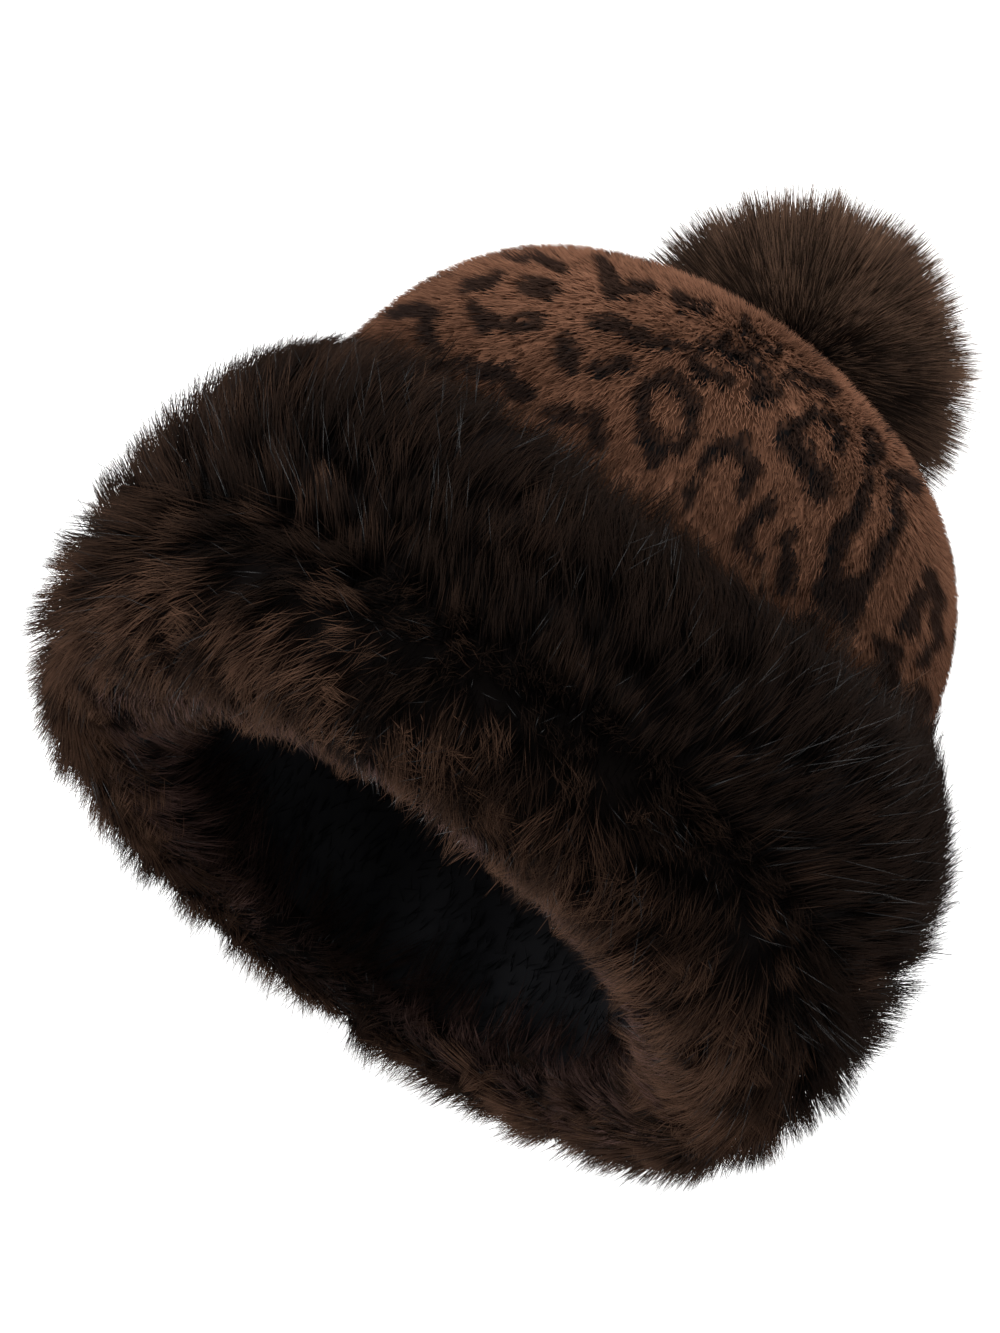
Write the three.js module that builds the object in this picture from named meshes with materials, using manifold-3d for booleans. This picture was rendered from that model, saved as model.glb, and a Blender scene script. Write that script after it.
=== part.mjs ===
// A winter hat of the cossack kind: a crown of short plush, a deep cuff of long fur folded round
// the rim, a dark lining and a fur pompom. Millimetres, +Z up. The hat lies on its back, as it
// would by itself: the opening looks towards -Y, the pompom points towards +Y and the floor is
// at Z = 0. The origin is under the middle of its bounding box.
import * as THREE from 'three';
import { mergeVertices } from 'three/addons/utils/BufferGeometryUtils.js';
import Module from 'manifold-3d';

const wasm = await Module();
wasm.setup();

// Driving sizes of the hat, along its own axis from the lowest fur at the rim, and out from it
const crownHeight = 213;
const crownRadius = 106.5;
const crownWall = 6.5;
const crownSway = -4.5;
const hemHeight = 9;
const liningWall = 2.5;
const cuffHeight = 127;
const cuffRadius = 139;
const rimTilt = 5;
const rimBack = 11;
const furInside = 6;
const cuffBacking = 1.5;
const turnInHeight = 18;
const lockDepth = 8;
const pompomRadius = 51;
const pompomLift = 6.5;
const pompomSway = 8;
const pompomDroop = 4;
const pompomLock = 7;

// How far the fur and the plush give where the hat lies on the floor
const cuffPress = 17;
const crownPress = 2.5;

// Clearances: between neighbouring layers of cloth, and of the cuff round the crown
const clothGap = 0.4;
const cuffEase = 0.8;

// Counts of columns round the hat and rings along each piece
const shellColumns = 44;
const crownRings = 13;
const furColumns = 56;
const furRings = 18;
const backingRings = 4;
const pompomDetail = 4;

// The crown's outside from the apex to the hem: rise is the share of the way from the hem to
// the apex, reach the share of the crown's radius
const crownRows = [
  { rise: 1.0, reach: 0.0 },
  { rise: 0.993, reach: 0.22 },
  { rise: 0.973, reach: 0.43 },
  { rise: 0.935, reach: 0.61 },
  { rise: 0.874, reach: 0.77 },
  { rise: 0.78, reach: 0.895 },
  { rise: 0.665, reach: 0.97 },
  { rise: 0.54, reach: 1.0 },
  { rise: 0.39, reach: 0.972 },
  { rise: 0.25, reach: 0.945 },
  { rise: 0.12, reach: 0.933 },
  { rise: 0.0, reach: 0.93 },
];

// The fur's outside from the lining to the crown: turn is a share of the height to which the
// fur turns in, climb a share of the cuff's height, across a share of the way from the inside
// of the fur to the cuff's radius, lock a share of the depth of the locks
const furRows = [
  { turn: 1.0, climb: 0.0, across: 0.04, lock: 0.1 },
  { turn: 0.8, climb: 0.0, across: 0.0, lock: 0.2 },
  { turn: 0.42, climb: 0.0, across: 0.02, lock: 0.25 },
  { turn: 0.12, climb: 0.0, across: 0.16, lock: 0.3 },
  { turn: 0.0, climb: 0.0, across: 0.44, lock: 0.5 },
  { turn: 0.0, climb: 0.03, across: 0.66, lock: 0.8 },
  { turn: 0.0, climb: 0.1, across: 0.82, lock: 1.0 },
  { turn: 0.0, climb: 0.22, across: 0.95, lock: 1.0 },
  { turn: 0.0, climb: 0.38, across: 1.0, lock: 1.0 },
  { turn: 0.0, climb: 0.57, across: 1.0, lock: 1.0 },
  { turn: 0.0, climb: 0.74, across: 0.94, lock: 1.0 },
  { turn: 0.0, climb: 0.89, across: 0.79, lock: 0.8 },
  { turn: 0.0, climb: 0.985, across: 0.62, lock: 0.5 },
  { turn: 0.0, climb: 0.99, across: 0.5, lock: 0.2 },
];

// How the cuff changes round the hat, a row for each eighth of a turn from +X over the top:
// reach is a share of the cuff's radius, top of its height, turn of the turned-in fur's height,
// back of how far the rim stands back
const cuffShape = [
  { reach: 0.985, top: 1.0, turn: 0.8, back: 0.1 },
  { reach: 0.99, top: 0.94, turn: 0.9, back: 0.7 },
  { reach: 1.0, top: 0.86, turn: 0.8, back: 1.0 },
  { reach: 1.01, top: 0.94, turn: 0.9, back: 0.95 },
  { reach: 1.015, top: 1.0, turn: 1.0, back: 0.25 },
  { reach: 1.01, top: 1.0, turn: 0.6, back: 0.0 },
  { reach: 1.0, top: 1.0, turn: 0.25, back: 0.0 },
  { reach: 1.0, top: 1.0, turn: 0.15, back: 0.0 },
];

// Soft dents in the crown: turn in degrees from +X over the top, rise as in the crown's rows,
// spread in degrees, length as a share of the crown's height, depth as a share of its radius
const crownDents = [
  { turn: 62, rise: 0.86, spread: 16, length: 0.1, depth: 0.022 },
  { turn: 128, rise: 0.8, spread: 20, length: 0.12, depth: 0.02 },
  { turn: 15, rise: 0.66, spread: 14, length: 0.1, depth: 0.02 },
  { turn: 200, rise: 0.75, spread: 22, length: 0.14, depth: 0.022 },
  { turn: 330, rise: 0.82, spread: 18, length: 0.12, depth: 0.02 },
];

// Loose folds that stand in from the lining: turn and spread in degrees, depth in liningWall
const liningFolds = [
  { turn: 204, spread: 9, depth: 1.8 },
  { turn: 236, spread: 8, depth: 1.4 },
  { turn: 282, spread: 10, depth: 1.9 },
  { turn: 322, spread: 9, depth: 1.5 },
  { turn: 20, spread: 12, depth: 1.4 },
  { turn: 100, spread: 12, depth: 1.6 },
];

const fullTurn = 2 * Math.PI;
const degree = Math.PI / 180;

// A repeatable number from 0 to 1 for a lock's row and column
function chance(row, column, kind) {
  const wave = Math.sin(row * 127.1 + column * 311.7 + kind * 74.7) * 43758.5453;
  return wave - Math.floor(wave);
}

// Catmull-Rom blend of four neighbouring values
function blend(a, b, c, d, u) {
  return b + 0.5 * u * (c - a + u * (2 * a - 5 * b + 4 * c - d + u * (3 * (b - c) + d - a)));
}

// A column of an open table at a place from 0 to 1
function along(rows, column, place) {
  const spot = Math.min(Math.max(place, 0), 1) * (rows.length - 1);
  const i = Math.min(Math.floor(spot), rows.length - 2);
  const at = (k) => rows[Math.min(Math.max(k, 0), rows.length - 1)][column];
  return blend(at(i - 1), at(i), at(i + 1), at(i + 2), spot - i);
}

// A column of a table whose rows stand at equal steps round the hat
function roundAbout(rows, column, azimuth) {
  const count = rows.length;
  const spot = (((azimuth / fullTurn) % 1) + 1) * count;
  const i = Math.floor(spot);
  const at = (k) => rows[k % count][column];
  return blend(at(i - 1), at(i), at(i + 1), at(i + 2), spot - i);
}

// Distance between two directions in degrees
function apart(azimuth, turn) {
  const d = (((azimuth / degree - turn) % 360) + 540) % 360 - 180;
  return Math.abs(d);
}

function hill(x) {
  return Math.exp(-x * x);
}

// The crown's line at a place from 0 at the apex to 1 at the hem, moved in by inset
function crownLine(place, inset) {
  const spot = (p) => new THREE.Vector2(
    hemHeight + along(crownRows, 'rise', p) * (crownHeight - hemHeight),
    along(crownRows, 'reach', p) * crownRadius,
  );
  const step = 0.004;
  const here = spot(place);
  const run = spot(Math.min(place + step, 1)).sub(spot(Math.max(place - step, 0))).normalize();
  if (place === 0) run.set(0, 1);
  return new THREE.Vector2(here.x - run.y * inset, here.y + run.x * inset);
}

// The place on the crown's line that lies at a height, which falls steadily from the apex
function crownPlace(height) {
  let low = 0;
  let high = 1;
  for (let k = 0; k < 40; k += 1) {
    const middle = (low + high) / 2;
    if (crownLine(middle, 0).x > height) low = middle;
    else high = middle;
  }
  return (low + high) / 2;
}

function crownDent(height, azimuth) {
  const rise = (height - hemHeight) / (crownHeight - hemHeight);
  let depth = 0;
  for (const dent of crownDents) {
    const side = hill(apart(azimuth, dent.turn) / dent.spread);
    depth += dent.depth * crownRadius * side * hill((rise - dent.rise) / dent.length);
  }
  return depth;
}

// The inside of the turned-in fur, and the fur's outline at a place from the lining to the crown
const layersInside = crownWall + clothGap + liningWall + clothGap + cuffBacking;
const furInnerRadius = crownLine(1, 0).y - layersInside - furInside;

function furLine(place, azimuth) {
  const turnTop = hemHeight + turnInHeight * roundAbout(cuffShape, 'turn', azimuth);
  const cuffTop = cuffHeight * roundAbout(cuffShape, 'top', azimuth);
  const reach = cuffRadius * roundAbout(cuffShape, 'reach', azimuth);
  const height = along(furRows, 'turn', place) * turnTop + along(furRows, 'climb', place) * cuffTop;
  const radius = furInnerRadius + along(furRows, 'across', place) * (reach - furInnerRadius);
  return new THREE.Vector2(height, radius);
}

// A height once the rim is tilted: the upper side of the rim stands back, the lower side forward
function tilted(height, radius, azimuth) {
  const fade = 1 - THREE.MathUtils.smoothstep(height, 0, cuffHeight);
  const share = radius / cuffRadius;
  const back = rimBack * roundAbout(cuffShape, 'back', azimuth);
  return height + share * (rimTilt * Math.sin(azimuth) + back) * fade;
}

// The dip of the hat's axis as it lies, at which the cuff and the crown press in as stated
const floorSide = -Math.PI / 2;

function lowest(line, dip) {
  let most = 0;
  for (let k = 0; k <= 200; k += 1) {
    const spot = line(k / 200);
    const height = tilted(spot.x, spot.y, floorSide);
    most = Math.max(most, height * Math.sin(dip) + spot.y * Math.cos(dip));
  }
  return most;
}

function restingDip() {
  let low = 0;
  let high = 60 * degree;
  for (let k = 0; k < 40; k += 1) {
    const dip = (low + high) / 2;
    const cuff = lowest((place) => furLine(place, floorSide), dip) - cuffPress;
    const crown = lowest((place) => crownLine(place, 0), dip) - crownPress;
    if (cuff > crown) low = dip;
    else high = dip;
  }
  return (low + high) / 2;
}

const dip = restingDip();
const axisHeight = lowest((place) => crownLine(place, 0), dip) - crownPress;

// A point of the lying hat from its height along the axis, radius and direction
function lay(height, radius, azimuth) {
  const sway = crownSway * THREE.MathUtils.smoothstep(height, cuffHeight / 2, crownHeight);
  const across = radius * Math.cos(azimuth) + sway;
  const up = radius * Math.sin(azimuth);
  const rise = tilted(height, radius, azimuth);
  return new THREE.Vector3(
    across,
    rise * Math.cos(dip) + up * Math.sin(dip),
    axisHeight - rise * Math.sin(dip) + up * Math.cos(dip),
  );
}

// A closed body from rings of points. A ring of one point is a pole. With loop the last ring
// joins the first. peak gives the raised middle of a cell, or nothing where the cell is plain.
function ringBody(rings, loop, peak) {
  const points = [];
  const starts = [];
  for (const ring of rings) {
    starts.push(points.length);
    points.push(...ring);
  }
  const faces = [];
  const count = loop ? rings.length : rings.length - 1;
  for (let k = 0; k < count; k += 1) {
    const next = (k + 1) % rings.length;
    const columns = Math.max(rings[k].length, rings[next].length);
    const at = (ring, j) => starts[ring] + (j % rings[ring].length);
    for (let j = 0; j < columns; j += 1) {
      const [a, b, c, d] = [at(k, j), at(k, j + 1), at(next, j + 1), at(next, j)];
      const top = peak ? peak(k, j) : null;
      if (a === b) faces.push([a, c, d]);
      else if (c === d) faces.push([a, b, c]);
      else if (top) {
        const e = points.push(top) - 1;
        faces.push([a, b, e], [b, c, e], [c, d, e], [d, a, e]);
      } else faces.push([a, b, c], [a, c, d]);
    }
  }
  return outward(points, faces);
}

// A manifold solid from points and faces, turned so that its faces point out
function outward(points, faces) {
  let volume = 0;
  for (const [a, b, c] of faces) {
    volume += points[a].dot(new THREE.Vector3().crossVectors(points[b], points[c]));
  }
  const triangles = volume > 0 ? faces : faces.map(([a, b, c]) => [a, c, b]);
  const geometry = new THREE.BufferGeometry();
  geometry.setAttribute(
    'position',
    new THREE.Float32BufferAttribute(points.flatMap((p) => p.toArray()), 3),
  );
  geometry.setIndex(triangles.flat());
  return toSolid(geometry);
}

function toSolid(geometry) {
  return new wasm.Manifold(new wasm.Mesh({
    numProp: 3,
    vertProperties: new Float32Array(geometry.attributes.position.array),
    triVerts: new Uint32Array(geometry.index.array),
  }));
}

function toGeometry(solid) {
  const mesh = solid.getMesh();
  const geometry = new THREE.BufferGeometry();
  geometry.setAttribute('position', new THREE.BufferAttribute(mesh.vertProperties, 3));
  geometry.setIndex(new THREE.BufferAttribute(mesh.triVerts, 1));
  return geometry;
}

// The space under the floor, which flattens what lies on it
function floorBlock() {
  const reach = 4 * (cuffRadius + crownHeight);
  const block = new THREE.BoxGeometry(reach, reach, reach);
  block.translate(0, 0, -reach / 2);
  block.deleteAttribute('normal');
  block.deleteAttribute('uv');
  return toSolid(mergeVertices(block));
}

// One ring of a cloth layer at a place on the crown's line
function clothRing(place, inset, bulge) {
  if (place === 0) return [lay(crownLine(0, inset).x, 0, 0)];
  const ring = [];
  for (let j = 0; j < shellColumns; j += 1) {
    const azimuth = (j / shellColumns) * fullTurn;
    const spot = crownLine(place, inset);
    const radius = spot.y - crownDent(spot.x, azimuth) - (bulge ? bulge(place, azimuth) : 0);
    ring.push(lay(spot.x, radius, azimuth));
  }
  return ring;
}

// A hollow dome of cloth between two depths under the crown's surface
function clothDome(outside, inside, bulge) {
  const body = [];
  for (let k = 0; k <= crownRings; k += 1) body.push(clothRing(k / crownRings, outside, bulge));
  for (let k = crownRings; k >= 0; k -= 1) body.push(clothRing(k / crownRings, inside, bulge));
  return ringBody(body, false, null);
}

function makeCrownShell() {
  return clothDome(0, crownWall, null).subtract(floorBlock());
}

function makeLining() {
  const outside = crownWall + clothGap;
  const furTop = hemHeight + turnInHeight;
  const folds = (place, azimuth) => {
    const height = crownLine(place, 0).x;
    const start = THREE.MathUtils.smoothstep(height, furTop, 3 * furTop);
    const finish = 1 - THREE.MathUtils.smoothstep(height, crownHeight / 2, crownHeight);
    let depth = 0;
    for (const fold of liningFolds) {
      depth += fold.depth * liningWall * hill(apart(azimuth, fold.turn) / fold.spread);
    }
    return depth * start * finish;
  };
  return clothDome(outside, outside + liningWall, folds);
}

// The cuff: a backing folded round the hem, and fur in locks on its outside
function makeFurCuff() {
  const azimuthOf = (ring, j) => ((j + (ring % 2) / 2) / furColumns) * fullTurn;
  const slope = (place, azimuth) => {
    const step = 0.01;
    const ahead = furLine(Math.min(place + step, 1), azimuth);
    return ahead.sub(furLine(Math.max(place - step, 0), azimuth)).normalize();
  };
  const furPoint = (place, azimuth, raise) => {
    const spot = furLine(place, azimuth);
    const run = slope(place, azimuth);
    return lay(spot.x - run.y * raise, spot.y + run.x * raise, azimuth);
  };
  const rings = [];
  for (let k = 0; k <= furRings; k += 1) {
    const place = k / furRings;
    const ring = [];
    for (let j = 0; j < furColumns; j += 1) {
      const depth = lockDepth * along(furRows, 'lock', place) * (0.5 + 0.4 * chance(k, j, 1));
      ring.push(furPoint(place, azimuthOf(k, j), -depth));
    }
    rings.push(ring);
  }
  rings.push(...backingLeg(azimuthOf, rings.length));
  const peak = (k, j) => {
    if (k >= furRings) return null;
    const place = (k + 0.35 + 0.3 * chance(k, j, 2)) / furRings;
    const azimuth = azimuthOf(k, j) + (0.25 + (0.5 * chance(k, j, 3))) * fullTurn / furColumns;
    const height = lockDepth * along(furRows, 'lock', place) * (0.5 * chance(k, j, 4) - 0.1);
    return furPoint(place, azimuth, height);
  };
  return ringBody(rings, true, peak).subtract(floorBlock());
}

// The side of the cuff that meets the hat: down outside the crown, under the hem, up the lining
function backingLeg(azimuthOf, firstRing) {
  const rings = [];
  const add = (spotOf) => {
    const ring = [];
    for (let j = 0; j < furColumns; j += 1) {
      const azimuth = azimuthOf(firstRing + rings.length, j);
      const spot = spotOf(azimuth);
      ring.push(lay(spot.x, spot.y, azimuth));
    }
    rings.push(ring);
  };
  const inside = crownWall + clothGap + liningWall + clothGap;
  for (let k = 0; k < backingRings; k += 1) {
    add((azimuth) => {
      const top = 0.93 * cuffHeight * roundAbout(cuffShape, 'top', azimuth);
      const height = top + (hemHeight - top) * (k / backingRings);
      return crownLine(crownPlace(height), -cuffEase);
    });
  }
  add(() => crownLine(1, -cuffEase).setX(hemHeight - clothGap));
  add(() => crownLine(1, inside).setX(hemHeight - clothGap));
  add((azimuth) => {
    const rise = turnInHeight * roundAbout(cuffShape, 'turn', azimuth);
    return crownLine(crownPlace(hemHeight + rise), inside);
  });
  return rings;
}

// The pompom: locks that spread from a ball, seated on the crown
function makePompom() {
  const ball = new THREE.IcosahedronGeometry(1, pompomDetail);
  ball.deleteAttribute('normal');
  ball.deleteAttribute('uv');
  const merged = mergeVertices(ball);
  const corners = merged.attributes.position;
  const centre = lay(crownHeight + pompomLift, pompomDroop, floorSide);
  centre.x += pompomSway;
  const points = [];
  for (let k = 0; k < corners.count; k += 1) {
    const way = new THREE.Vector3().fromBufferAttribute(corners, k).normalize();
    const depth = pompomLock * (0.6 + 0.4 * chance(k, 0, 5));
    points.push(way.multiplyScalar(pompomRadius - depth));
  }
  const faces = [];
  const order = merged.index.array;
  for (let k = 0; k < order.length; k += 3) {
    const [a, b, c] = [order[k], order[k + 1], order[k + 2]];
    const tip = points[a].clone().add(points[b]).add(points[c]).normalize();
    tip.multiplyScalar(pompomRadius + pompomLock * (0.5 * chance(k, 1, 6) - 0.15));
    const e = points.push(tip) - 1;
    faces.push([a, b, e], [b, c, e], [c, a, e]);
  }
  for (const point of points) point.add(centre);
  const seat = [];
  for (let k = 0; k <= crownRings; k += 1) {
    seat.push(clothRing(k / crownRings, -clothGap, null));
  }
  seat.push([lay(hemHeight, 0, 0)]);
  return outward(points, faces).subtract(ringBody(seat, false, null));
}

function piece(name, solid, color, roughness) {
  const material = new THREE.MeshStandardMaterial({ color, roughness, metalness: 0 });
  const mesh = new THREE.Mesh(toGeometry(solid), material);
  mesh.name = name;
  return mesh;
}

const group = new THREE.Group();
group.add(piece('crown_shell', makeCrownShell(), 0x9a6a4a, 0.9));
group.add(piece('lining', makeLining(), 0x1a1a1d, 0.95));
group.add(piece('fur_cuff', makeFurCuff(), 0x3d2c24, 0.85));
group.add(piece('pompom', makePompom(), 0x5a463a, 0.85));

const bounds = new THREE.Box3().setFromObject(group);
const middle = bounds.getCenter(new THREE.Vector3());
group.position.set(-middle.x, -middle.y, 0);

export default group;
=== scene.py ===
# %% [markdown]
# # A winter hat of the cossack kind
# The modelled solids give the hat its form: a crown, a lining, a folded cuff and a pompom.
# Here each of them gets its looks. A smooth solid with a furry picture on it would look flat at
# its edge, so everything soft is made of many thin strands that grow in tufts from a dark base,
# as real pile does. The hat lies on its back and is seen from above.

import math
from collections import namedtuple

import bpy
import numpy as np
from mathutils import Matrix, Vector


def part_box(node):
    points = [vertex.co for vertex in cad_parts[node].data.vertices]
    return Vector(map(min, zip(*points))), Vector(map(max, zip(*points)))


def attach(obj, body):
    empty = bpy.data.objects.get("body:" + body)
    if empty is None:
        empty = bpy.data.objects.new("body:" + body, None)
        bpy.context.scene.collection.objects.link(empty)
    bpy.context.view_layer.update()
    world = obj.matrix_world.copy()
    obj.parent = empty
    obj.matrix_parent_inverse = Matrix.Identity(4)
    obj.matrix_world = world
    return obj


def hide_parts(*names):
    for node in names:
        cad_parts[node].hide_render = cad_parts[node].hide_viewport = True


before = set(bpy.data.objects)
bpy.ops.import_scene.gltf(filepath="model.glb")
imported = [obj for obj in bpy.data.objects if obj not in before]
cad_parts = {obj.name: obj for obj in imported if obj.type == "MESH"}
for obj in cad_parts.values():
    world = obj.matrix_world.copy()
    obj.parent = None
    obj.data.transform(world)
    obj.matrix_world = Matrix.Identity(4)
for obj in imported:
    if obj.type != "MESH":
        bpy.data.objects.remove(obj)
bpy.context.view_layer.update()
print("frame nodes:", sorted(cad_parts))

# %% [markdown]
# ## The hat's form
# Strands have to start on the hat's surface. Blender could look for the nearest face of a solid,
# but a formula is exact and quick, so here are the same named sizes as in the modelled form, in
# metres, and the same short tables. A line is a table of rows at equal steps, read with a smooth
# curve. A point of the hat is given by its height along the hat's axis, its distance from that
# axis and its direction round it.

# %% Sizes of the form
CROWN_HEIGHT = 0.213
CROWN_RADIUS = 0.1065
CROWN_WALL = 0.0065
CROWN_SWAY = -0.0045
HEM_HEIGHT = 0.009
LINING_WALL = 0.0025
CUFF_HEIGHT = 0.127
CUFF_RADIUS = 0.139
RIM_TILT = 0.005
RIM_BACK = 0.011
FUR_INSIDE = 0.006
CUFF_BACKING = 0.0015
TURN_IN_HEIGHT = 0.018
POMPOM_RADIUS = 0.051
POMPOM_LIFT = 0.0065
POMPOM_SWAY = 0.008
POMPOM_DROOP = 0.004
CUFF_PRESS = 0.017
CROWN_PRESS = 0.0025
CLOTH_GAP = 0.0004
CUFF_EASE = 0.0008
SHELL_COLUMNS = 44
CROWN_RINGS = 13

# %% Tables of the form


def rows_of(kind, rows):
    """Rows of numbers with the named columns of their kind."""
    return [kind(*row) for row in rows]


CrownRow = namedtuple("CrownRow", "rise reach")
CROWN_ROWS = rows_of(CrownRow, [
    (1.0, 0.0),
    (0.993, 0.22),
    (0.973, 0.43),
    (0.935, 0.61),
    (0.874, 0.77),
    (0.78, 0.895),
    (0.665, 0.97),
    (0.54, 1.0),
    (0.39, 0.972),
    (0.25, 0.945),
    (0.12, 0.933),
    (0.0, 0.93),
])

FurRow = namedtuple("FurRow", "turn climb across")
FUR_ROWS = rows_of(FurRow, [
    (1.0, 0.0, 0.04),
    (0.8, 0.0, 0.0),
    (0.42, 0.0, 0.02),
    (0.12, 0.0, 0.16),
    (0.0, 0.0, 0.44),
    (0.0, 0.03, 0.66),
    (0.0, 0.1, 0.82),
    (0.0, 0.22, 0.95),
    (0.0, 0.38, 1.0),
    (0.0, 0.57, 1.0),
    (0.0, 0.74, 0.94),
    (0.0, 0.89, 0.79),
    (0.0, 0.985, 0.62),
    (0.0, 0.99, 0.5),
])

# A row for each eighth of a turn from +X over the top
CuffRow = namedtuple("CuffRow", "reach top turn back")
CUFF_SHAPE = rows_of(CuffRow, [
    (0.985, 1.0, 0.8, 0.1),
    (0.99, 0.94, 0.9, 0.7),
    (1.0, 0.86, 0.8, 1.0),
    (1.01, 0.94, 0.9, 0.95),
    (1.015, 1.0, 1.0, 0.25),
    (1.01, 1.0, 0.6, 0.0),
    (1.0, 1.0, 0.25, 0.0),
    (1.0, 1.0, 0.15, 0.0),
])

# Turn and spread in degrees, rise and length as shares of the crown's height, depth of its radius
Dent = namedtuple("Dent", "turn rise spread length depth")
CROWN_DENTS = rows_of(Dent, [
    (62, 0.86, 16, 0.1, 0.022),
    (128, 0.8, 20, 0.12, 0.02),
    (15, 0.66, 14, 0.1, 0.02),
    (200, 0.75, 22, 0.14, 0.022),
    (330, 0.82, 18, 0.12, 0.02),
])

# Turn and spread in degrees, depth in thicknesses of the lining
Fold = namedtuple("Fold", "turn spread depth")
LINING_FOLDS = rows_of(Fold, [
    (204, 9, 1.8),
    (236, 8, 1.4),
    (282, 10, 1.9),
    (322, 9, 1.5),
    (20, 12, 1.4),
    (100, 12, 1.6),
])

# %% Curves through tables


def column(rows, name):
    """One named column of a table as an array."""
    return np.array([getattr(row, name) for row in rows], float)


def curve(values, spot):
    """Catmull-Rom curve: at a share u past the value b, with a before it and c and d after it,
    b plus half of u times (c - a + u (2a - 5b + 4c - d + u (3b - 3c + d - a)))."""
    i = np.clip(np.floor(spot).astype(int), 0, len(values) - 2)
    u = spot - i
    a, b, c, d = (values[np.clip(i + k, 0, len(values) - 1)] for k in (-1, 0, 1, 2))
    return b + 0.5 * u * (c - a + u * (2 * a - 5 * b + 4 * c - d + u * (3 * (b - c) + d - a)))


def along(rows, name, place):
    """A column of an open table at a place from 0 to 1."""
    values = column(rows, name)
    return curve(values, np.clip(place, 0, 1) * (len(values) - 1))


def round_about(rows, name, azimuth):
    """A column of a table whose rows stand at equal steps round the hat."""
    values = column(rows, name)
    wrapped = np.concatenate([values[-1:], values, values[:2]])
    return curve(wrapped, azimuth / math.tau % 1 * len(values) + 1)


def smoothstep(x, low, high):
    """0 below low and 1 above high, with 3u squared less 2u cubed between them."""
    u = np.clip((x - low) / (high - low), 0, 1)
    return u * u * (3 - 2 * u)


def hill(azimuth, turn, spread):
    """A bell of height 1 at a turn and 1/e at a spread from it, both in degrees."""
    away = (np.degrees(azimuth) - turn + 180) % 360 - 180
    return np.exp(-((away / spread) ** 2))


# %% Lines of the form


def crown_line(place, inset=0.0):
    """Height and radius on the crown's line from 0 at the apex to 1 at the hem, moved in by
    inset at right angles to the line."""
    step = 0.004

    def spot(p):
        """Height and radius at a place, by the crown's table."""
        height = HEM_HEIGHT + along(CROWN_ROWS, "rise", p) * (CROWN_HEIGHT - HEM_HEIGHT)
        return np.array([height, along(CROWN_ROWS, "reach", p) * CROWN_RADIUS])

    place = np.asarray(place, float)
    run = spot(np.minimum(place + step, 1)) - spot(np.maximum(place - step, 0))
    run = np.where(place <= 0, np.stack([0 * place, 1 + 0 * place]), run)
    run = run / np.hypot(*run)
    here = spot(place)
    return here[0] - run[1] * inset, here[1] + run[0] * inset


def crown_dent(height, azimuth):
    """How far the crown stands in from its line: the sum of its soft dents."""
    rise = (height - HEM_HEIGHT) / (CROWN_HEIGHT - HEM_HEIGHT)
    depth = 0.0
    for dent in CROWN_DENTS:
        bell = np.exp(-(((rise - dent.rise) / dent.length) ** 2))
        depth = depth + dent.depth * CROWN_RADIUS * bell * hill(azimuth, dent.turn, dent.spread)
    return depth


LAYERS_INSIDE = CROWN_WALL + CLOTH_GAP + LINING_WALL + CLOTH_GAP + CUFF_BACKING
FUR_INNER_RADIUS = float(crown_line(1.0)[1]) - LAYERS_INSIDE - FUR_INSIDE


def fur_line(place, azimuth):
    """Height and radius on the fur's outline from 0 at the lining to 1 at the crown."""
    turn_top = HEM_HEIGHT + TURN_IN_HEIGHT * round_about(CUFF_SHAPE, "turn", azimuth)
    cuff_top = CUFF_HEIGHT * round_about(CUFF_SHAPE, "top", azimuth)
    reach = CUFF_RADIUS * round_about(CUFF_SHAPE, "reach", azimuth)
    height = along(FUR_ROWS, "turn", place) * turn_top + along(FUR_ROWS, "climb", place) * cuff_top
    across = along(FUR_ROWS, "across", place)
    return height, FUR_INNER_RADIUS + across * (reach - FUR_INNER_RADIUS)


# %% [markdown]
# ## How the hat lies
# A round hat on its back rests on the cuff and on the crown, so its axis dips. An object could
# be turned by hand until it looks right. Here the dip is found by halving, until cuff and crown
# both press into the floor by their stated amounts, and every point is laid down with it.

# %% Lay the hat down


def tilted(height, radius, azimuth):
    """A height once the rim is tilted and stands back: less and less of both towards the
    cuff's top."""
    fade = 1 - smoothstep(height, 0, CUFF_HEIGHT)
    back = RIM_BACK * round_about(CUFF_SHAPE, "back", azimuth)
    return height + radius / CUFF_RADIUS * (RIM_TILT * np.sin(azimuth) + back) * fade


FLOOR_SIDE = -math.pi / 2


def lowest(line, dip):
    """How far a line on the floor side reaches below the hat's axis at the rim."""
    height, radius = line
    rise = tilted(height, radius, np.full(len(height), FLOOR_SIDE))
    return np.max(rise * math.sin(dip) + radius * math.cos(dip))


places = np.linspace(0, 1, 201)
cuff_under = fur_line(places, FLOOR_SIDE + 0 * places)
crown_under = crown_line(places)
low_dip, high_dip = 0.0, math.radians(60)
for _ in range(40):
    dip = (low_dip + high_dip) / 2
    if lowest(cuff_under, dip) - CUFF_PRESS > lowest(crown_under, dip) - CROWN_PRESS:
        low_dip = dip
    else:
        high_dip = dip
axis_height = lowest(crown_under, dip) - CROWN_PRESS


def lay_raw(height, radius, azimuth):
    """A point of the lying hat, before the hat is centred: along the dipped axis by the height
    and off it by the radius."""
    across = radius * np.cos(azimuth)
    across = across + CROWN_SWAY * smoothstep(height, CUFF_HEIGHT / 2, CROWN_HEIGHT)
    up = radius * np.sin(azimuth)
    rise = tilted(height, radius, azimuth)
    return np.stack(
        [
            across,
            rise * math.cos(dip) + up * math.sin(dip),
            axis_height - rise * math.sin(dip) + up * math.cos(dip),
        ],
        -1,
    )


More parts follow.
